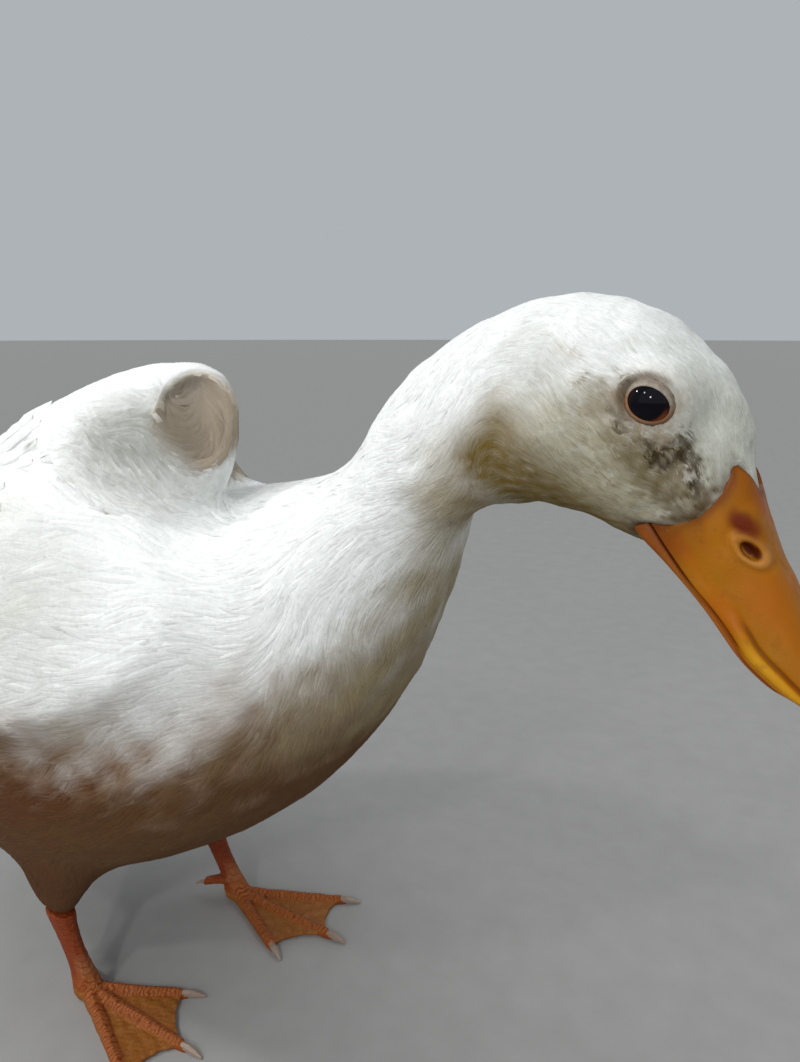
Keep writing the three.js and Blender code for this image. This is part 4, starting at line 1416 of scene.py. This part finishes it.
def quills(name, line, upright, widths, lifts, patch):
    """Long closed feathers along lines, with a raised shaft, a round tip and a few split barbs."""
    random = np.random.default_rng(QUILL_SEED)
    count, steps = line.shape[:2]
    over = len(QUILL_ACROSS)
    around = 2 * over
    t = np.linspace(0, 1, steps)
    rounded = np.sqrt(np.maximum(1 - np.maximum(0, (t - 0.72) / 0.28) ** 2.2, 0.004))
    outline = np.minimum(1, 0.45 + 2.2 * t) * rounded
    ahead = np.gradient(line, axis=1)
    side = unit(np.cross(upright, ahead))
    half = 0.5 * widths[:, None, None, None] * outline[None, :, None, None] * MM
    across = np.broadcast_to(QUILL_ACROSS[None, None, :, None], (count, steps, over, 1)).copy()
    split = random.random((count, steps, 2)) > 0.75
    frayed = 1 - 0.10 * split - 0.04 * random.random((count, steps, 2))
    across[:, :, 0, 0] *= frayed[:, :, 0]
    across[:, :, -1, 0] *= frayed[:, :, 1]
    lift = lifts[:, None, None, None] * MM * (0.15 + 0.85 * t[None, :, None, None])
    top = line[:, :, None] + side[:, :, None] * across * half
    top = top + upright[:, :, None] * (lift + QUILL_HEIGHT[None, None, :, None] * half * 2)
    under = top - upright[:, :, None] * QUILL_THICK * MM
    ring = np.concatenate([top, under[:, :, ::-1]], axis=2)
    points = ring.reshape(count, steps * around, 3)
    quads = wrapped(steps, around, closed_rows=False)
    for end in (0, (steps - 1) * around):
        for j in range(over - 1):
            strip = (end + j, end + around - 1 - j, end + around - 2 - j, end + j + 1)
            quads.append(strip[::-1] if end == 0 else strip)
    round_u = np.tile(np.concatenate([QUILL_ACROSS, QUILL_ACROSS[::-1]]) * 0.5 + 0.5, steps)
    local = np.stack([round_u, np.repeat(t, around)], axis=1)
    facing = np.repeat(upright[:, :, None], around, axis=2)
    colours = markings_and_shading(points, facing.reshape(points.shape))
    shaft = (np.abs(round_u - 0.5) < 0.04)[None, :, None]
    colours = colours * (1 + 0.04 * random.normal(size=(count, 1, 1))) * np.where(shaft, 0.9, 1.0)
    colours = np.clip(colours, 0.01, 0.95)
    piece = feathers(name, points, quads, local, patch, PATCH * 3, colours, barbed)
    edit_all(piece, bpy.ops.mesh.normals_make_consistent, inside=False)


# The barbs slant out from the shaft. Their ripple turns by this many radians along a feather.
BARBS = 520
barbed = Finish("barbed_plumage", Roughness=0.6, Specular_IOR_Level=0.3)
marks_and_shading = barbed.node("Attribute", 0, {"attribute_name": "markings_and_shading"})
vane_map = barbed.node("UVMap", 0, {"uv_map": "vane"})
across, along = barbed.part(vane_map, "X"), barbed.part(vane_map, "Y")
along_barb = (along - abs(across - 0.5) * 0.25) * BARBS
grain = barbed.noise(barbed.place(), 300.0, 4.0, 0.6)
duller = barbed.mixed(0.25, marks_and_shading, (0.32, 0.27, 0.2, 1))
barbed.set(Base_Color=barbed.mixed(barbed.band(grain, 0.35, 0.8), marks_and_shading, duller))
barbed.bump(along_barb.maths("SINE", along_barb), 0.25, 0.0002)

# Each row over the wing's blade: where along it the feathers start and end, from its front at 0
# to its tip at 1, how many stand side by side, their width and how proud they lie.
WING_ROWS = (
    (0.02, 1.0, 7, 15.0, 0.3),
    (0.0, 0.62, 6, 15.0, 0.9),
    (-0.10, 0.36, 6, 13.5, 1.4),
    (-0.16, 0.16, 6, 12.0, 1.9),
)
TAIL_ROWS = (
    (0.04, 1.0, 13, 13.0, 0.3),
    (0.0, 0.6, 9, 13.0, 0.8),
    (-0.12, 0.3, 8, 12.0, 1.3),
)
# No feather runs beyond this share of the way, so that the tips stay round.
FURTHEST = 0.97


def lay_quills(name, node, rows, ends, outward, reach):
    """Rows of feathers over one side of a solid, edge to edge, each cast on to it from outside."""
    surface, solid = surfaces[node], places_of(cores[node]) / MM
    start = np.array(ends[0], float)
    ahead = unit(np.array(ends[1]) - start)
    beside = unit(np.cross(outward, ahead))
    along, across, depth = ((solid - start) @ way for way in (ahead, beside, outward))
    length = along.max() - 1.5
    # The solid's two edges and its middle, in short slices along it.
    stations = np.linspace(0.04, 1, 25)
    bands = [np.abs(along - length * station) < 3 for station in stations]
    low = np.array([across[band].min() for band in bands])
    high = np.array([across[band].max() for band in bands])
    middle = np.array([depth[band].mean() for band in bands])
    lines, uprights, widths, lifts, patches = [], [], [], [], []
    droop = -0.35 if node == "tail" else 0.0
    for first, last, count, width, lift in rows:
        for k in range(count):
            where = (k + 0.5) / count
            t = np.linspace(first, min(last, FURTHEST), QUILL_SECTIONS)
            near, far, mid = (np.interp(t, stations, values) for values in (low, high, middle))
            margin = np.minimum(0.42 * width, 0.42 * (far - near))
            aside = near + margin + (far - near - 2 * margin) * (count * where - 0.5) / (count - 1)
            guide = start + ahead * (length * t)[:, None] + beside * aside[:, None]
            guide = guide + outward * mid[:, None]
            line, upright = [], []
            for place in guide:
                outside = Vector(place + outward * reach) * MM
                hit = surface.ray_cast(outside, Vector(-outward), 1.5 * reach * MM)
                if hit[0] is None:
                    hit = surface.find_nearest(Vector(place) * MM)
                line.append(np.array(hit[0]))
                upright.append(np.array(hit[1]))
            line = np.array(line)
            for _ in range(3):
                line[1:-1] = 0.5 * line[1:-1] + 0.25 * (line[:-2] + line[2:])
            lines.append(line)
            uprights.append(unit(0.4 * np.array(upright) + 0.6 * outward))
            widths.append(width)
            lifts.append(lift + droop * abs(2 * where - 1) + 0.25 * where)
            patches.append(skin_patch(line[0]))
    quills(name, *(np.array(values) for values in (lines, uprights, widths, lifts, patches)))


def joint_tree(*pieces):
    """One search tree over several meshes."""
    corners, polygons = [], []
    for piece in pieces:
        polygons += (quads_of(piece) + len(corners)).tolist()
        corners += places_of(piece).tolist()
    return BVHTree.FromPolygons(corners, polygons)


def skin_patch(place):
    """Where the skin nearest to a place is on its unwrap."""
    return skin_uv[skin_tree.find_nearest(Vector(place))[2]].mean(axis=0)


# Under the quills is a core, the solid made thinner. Its front end is carried a little way into
# the skin, so that no gap shows there.
CORES = (
    ("flight_feathers_right", "flight_core_right", 0.8),
    ("flight_feathers_left", "flight_core_left", 0.8),
    ("tail", "tail_core", 0.6),
)
CORE_VOXEL = 1.1 * MM
INTO_SKIN = np.array((6.0, 0, 0))
cores = {}
for node, name, thinned in CORES:
    core = copy_of((node,), name)
    finished(core, "REMESH", mode="VOXEL", voxel_size=CORE_VOXEL)
    finished(core, "SMOOTH", factor=0.5, iterations=6)
    core_normals, core_places = normals_of(core), places_of(core)
    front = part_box(node)[1][0]
    to_root = soft_step(core_normals[:, 0], 0.5, 0.9)
    to_root = to_root * soft_step(core_places[:, 0], front - 40 * MM, front - 30 * MM)
    core_places = core_places - core_normals * thinned * MM
    move_to(core, core_places + to_root[:, None] * INTO_SKIN * MM)
    cores[node] = core
    paint(core.data, markings_and_shading(places_of(core), core_normals))
    core.data.materials.append(plumage.material)
    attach(core, "root")
    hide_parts(node)

surfaces = {node: joint_tree(core, skin) for node, core in cores.items()}
for side, name in ((-1, "right"), (1, "left")):
    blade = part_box("flight_feathers_" + name)
    front, tip = blade[1][0] / MM, blade[0][0] / MM
    top, low = blade[1][2] / MM, blade[0][2] / MM
    ends = ((front, side * 30, top - 27), (tip + 1, side * 15, low + 5))
    away = np.array((0, side, 0.0))
    lay_quills("flight_outer_" + name, "flight_feathers_" + name, WING_ROWS, ends, away, 60)
    lay_quills("flight_inner_" + name, "flight_feathers_" + name, WING_ROWS[:1], ends, -away, 13)

tail_ends = ((-152, 0, 100), (-248, 0, 121))
lay_quills("tail_upper", "tail", TAIL_ROWS, tail_ends, np.array((0, 0, 1.0)), 22)
lay_quills("tail_lower", "tail", TAIL_ROWS, tail_ends, np.array((0, 0, -1.0)), 30)

# ---- Legs and feet ----
# Bare legs in a tough orange skin: rings of scutes along the front of the shank and the top of
# each toe, small round scales elsewhere, and thin wrinkled webs between the three front toes.

LEG_VOXEL = 0.55 * MM
LEG_GAP_CLOSED = 0.2 * MM
TOE_BASE = {"right": np.array((-35.3, -42.0, 3.0)), "left": np.array((-19.3, 42.0, 3.0))}
TOES = ("inner", "middle", "outer")
# The scutes' spacing along a toe and up the shank, in millimetres.
SCUTE = 1.9
SHANK_SCUTE = 2.4
leg_finish = Finish("leg_skin", Roughness=0.5, Specular_IOR_Level=0.25)
marks_and_shading = leg_finish.node("Attribute", 0, {"attribute_name": "markings_and_shading"})
to_edge = {"feature": "DISTANCE_TO_EDGE"}
scales = leg_finish.node("TexVoronoi", 0, to_edge, Vector=leg_finish.place(), Scale=900.0)
seams = leg_finish.band(scales, 0.12, 0.02)
worn = leg_finish.noise(leg_finish.place(), 180.0, 4.0, 0.6)
leg_colour = leg_finish.mixed(seams * 0.35, marks_and_shading, (0.13, 0.026, 0.004, 1))
worn_share = leg_finish.band(worn, 0.5, 0.75, 0, 0.3)
leg_finish.set(Base_Color=leg_finish.mixed(worn_share, leg_colour, (0.22, 0.08, 0.025, 1)))
leg_finish.bump(seams * -1.0 + worn * 0.5, 0.5, 0.0002)

for name in ("right", "left"):
    leg = copy_of(("shank_" + name, "foot_" + name), "leg_" + name)
    edit_all(leg, bpy.ops.transform.shrink_fatten, value=LEG_GAP_CLOSED)
    finished(leg, "REMESH", mode="VOXEL", voxel_size=LEG_VOXEL)
    leg = biggest_part(leg)
    finished(leg, "SMOOTH", factor=0.5, iterations=6)
    places, normals = places_of(leg), normals_of(leg)
    mm = places / MM
    toe_share = np.zeros(len(mm))
    along_toe = np.zeros(len(mm))
    base = TOE_BASE[name]
    for toe in TOES:
        tip = np.array(middle_of(f"claw_{name}_{toe}")) / MM
        way = (tip - base) * (1, 1, 0)
        length = np.linalg.norm(way)
        way /= length
        along = (mm - base) @ way
        off = np.linalg.norm((mm - base) * (1, 1, 0) - along[:, None] * way, axis=1)
        share = soft_step(off, 4.2 - 0.02 * along, 2.6 - 0.02 * along)
        share = share * (along > 0) * (along < length + 4)
        along_toe = np.where(share > toe_share, along, along_toe)
        toe_share = np.maximum(toe_share, share)
    shank_share = soft_step(mm[:, 2], 9, 14)
    toe_share = np.maximum(toe_share, soft_step(mm[:, 2], 5.5, 7))
    on_top = soft_step(normals[:, 2], 0.1, 0.5)
    ring_of_toe = np.abs(np.sin(math.pi * (along_toe + 0.4 * ripple(places, 4, 61)) / SCUTE))
    scutes = np.exp(-((ring_of_toe / 0.3) ** 2)) * toe_share * on_top
    scutes = scutes * (1 - shank_share) * (along_toe > 3)
    up_shank = mm[:, 2] + 0.38 * mm[:, 0]
    ring = np.abs(np.sin(math.pi * (up_shank + 0.3 * ripple(places, 5, 62)) / SHANK_SCUTE))
    in_front = soft_step(normals[:, 0], 0.15, 0.6) * shank_share
    scutes = scutes + np.exp(-((ring / 0.28) ** 2)) * in_front
    web = (1 - toe_share) * (mm[:, 2] < 5.5)
    creases = 0.16 * ripple(places, 5.0, 63) + 0.08 * ripple(places, 1.8, 64)
    lift = -0.24 * scutes + creases * web * 0.8 + 0.05 * ripple(places, 1.6, 65) * (1 - web)
    flat = mm[:, 2] < 0.8
    move_to(leg, places + normals * (np.where(flat, 0, lift) * MM)[:, None])
    tone = 0.5 + 0.5 * ripple(places, 6, 66)
    colour = np.broadcast_to((0.27, 0.09, 0.010), mm.shape).copy()
    colour = blended(colour, tone * 0.5 * web, (0.34, 0.135, 0.030))
    colour = blended(colour, toe_share, (0.27, 0.050, 0.003))
    colour = blended(colour, shank_share, (0.21, 0.031, 0.003))
    ankle = in_front * (1 - soft_step(mm[:, 2], 14, 24))
    colour = blended(colour, ankle * 0.5, (0.46, 0.20, 0.07))
    # Painted highlights: the middle of each scute on the top of a toe is paler.
    bead_highlights = soft_step(ring_of_toe, 0.35, 0.9) * toe_share * on_top * (1 - shank_share)
    colour = blended(colour, bead_highlights * 0.5, (0.42, 0.165, 0.04))
    colour = blended(colour, scutes * 0.6, (0.12, 0.024, 0.004))
    colour = blended(colour, soft_step(-normals[:, 2], 0.3, 0.8) * 0.6, (0.2, 0.068, 0.02))
    paint(leg.data, colour)
    leg.data.materials.append(leg_finish.material)
    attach(leg, "root")
    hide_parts("shank_" + name, "foot_" + name)

# ---- Claws ----
# Short curved claws of horn, streaked pale grey-brown and darker.

claw_finish = Finish("claw_horn", Roughness=0.35, Specular_IOR_Level=0.5)
grain = claw_finish.noise(claw_finish.place(), 420.0, 4.0, 0.6, (1.0, 4.0, 4.0))
claw_finish.set(Base_Color=claw_finish.mixed(grain, (0.42, 0.32, 0.25, 1), (0.17, 0.11, 0.08, 1)))
claw_finish.bump(grain, 0.4, 0.0002)
for name in ("right", "left"):
    for toe in TOES + ("hind",):
        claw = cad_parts[f"claw_{name}_{toe}"]
        claw.material_slots[0].material = claw_finish.material
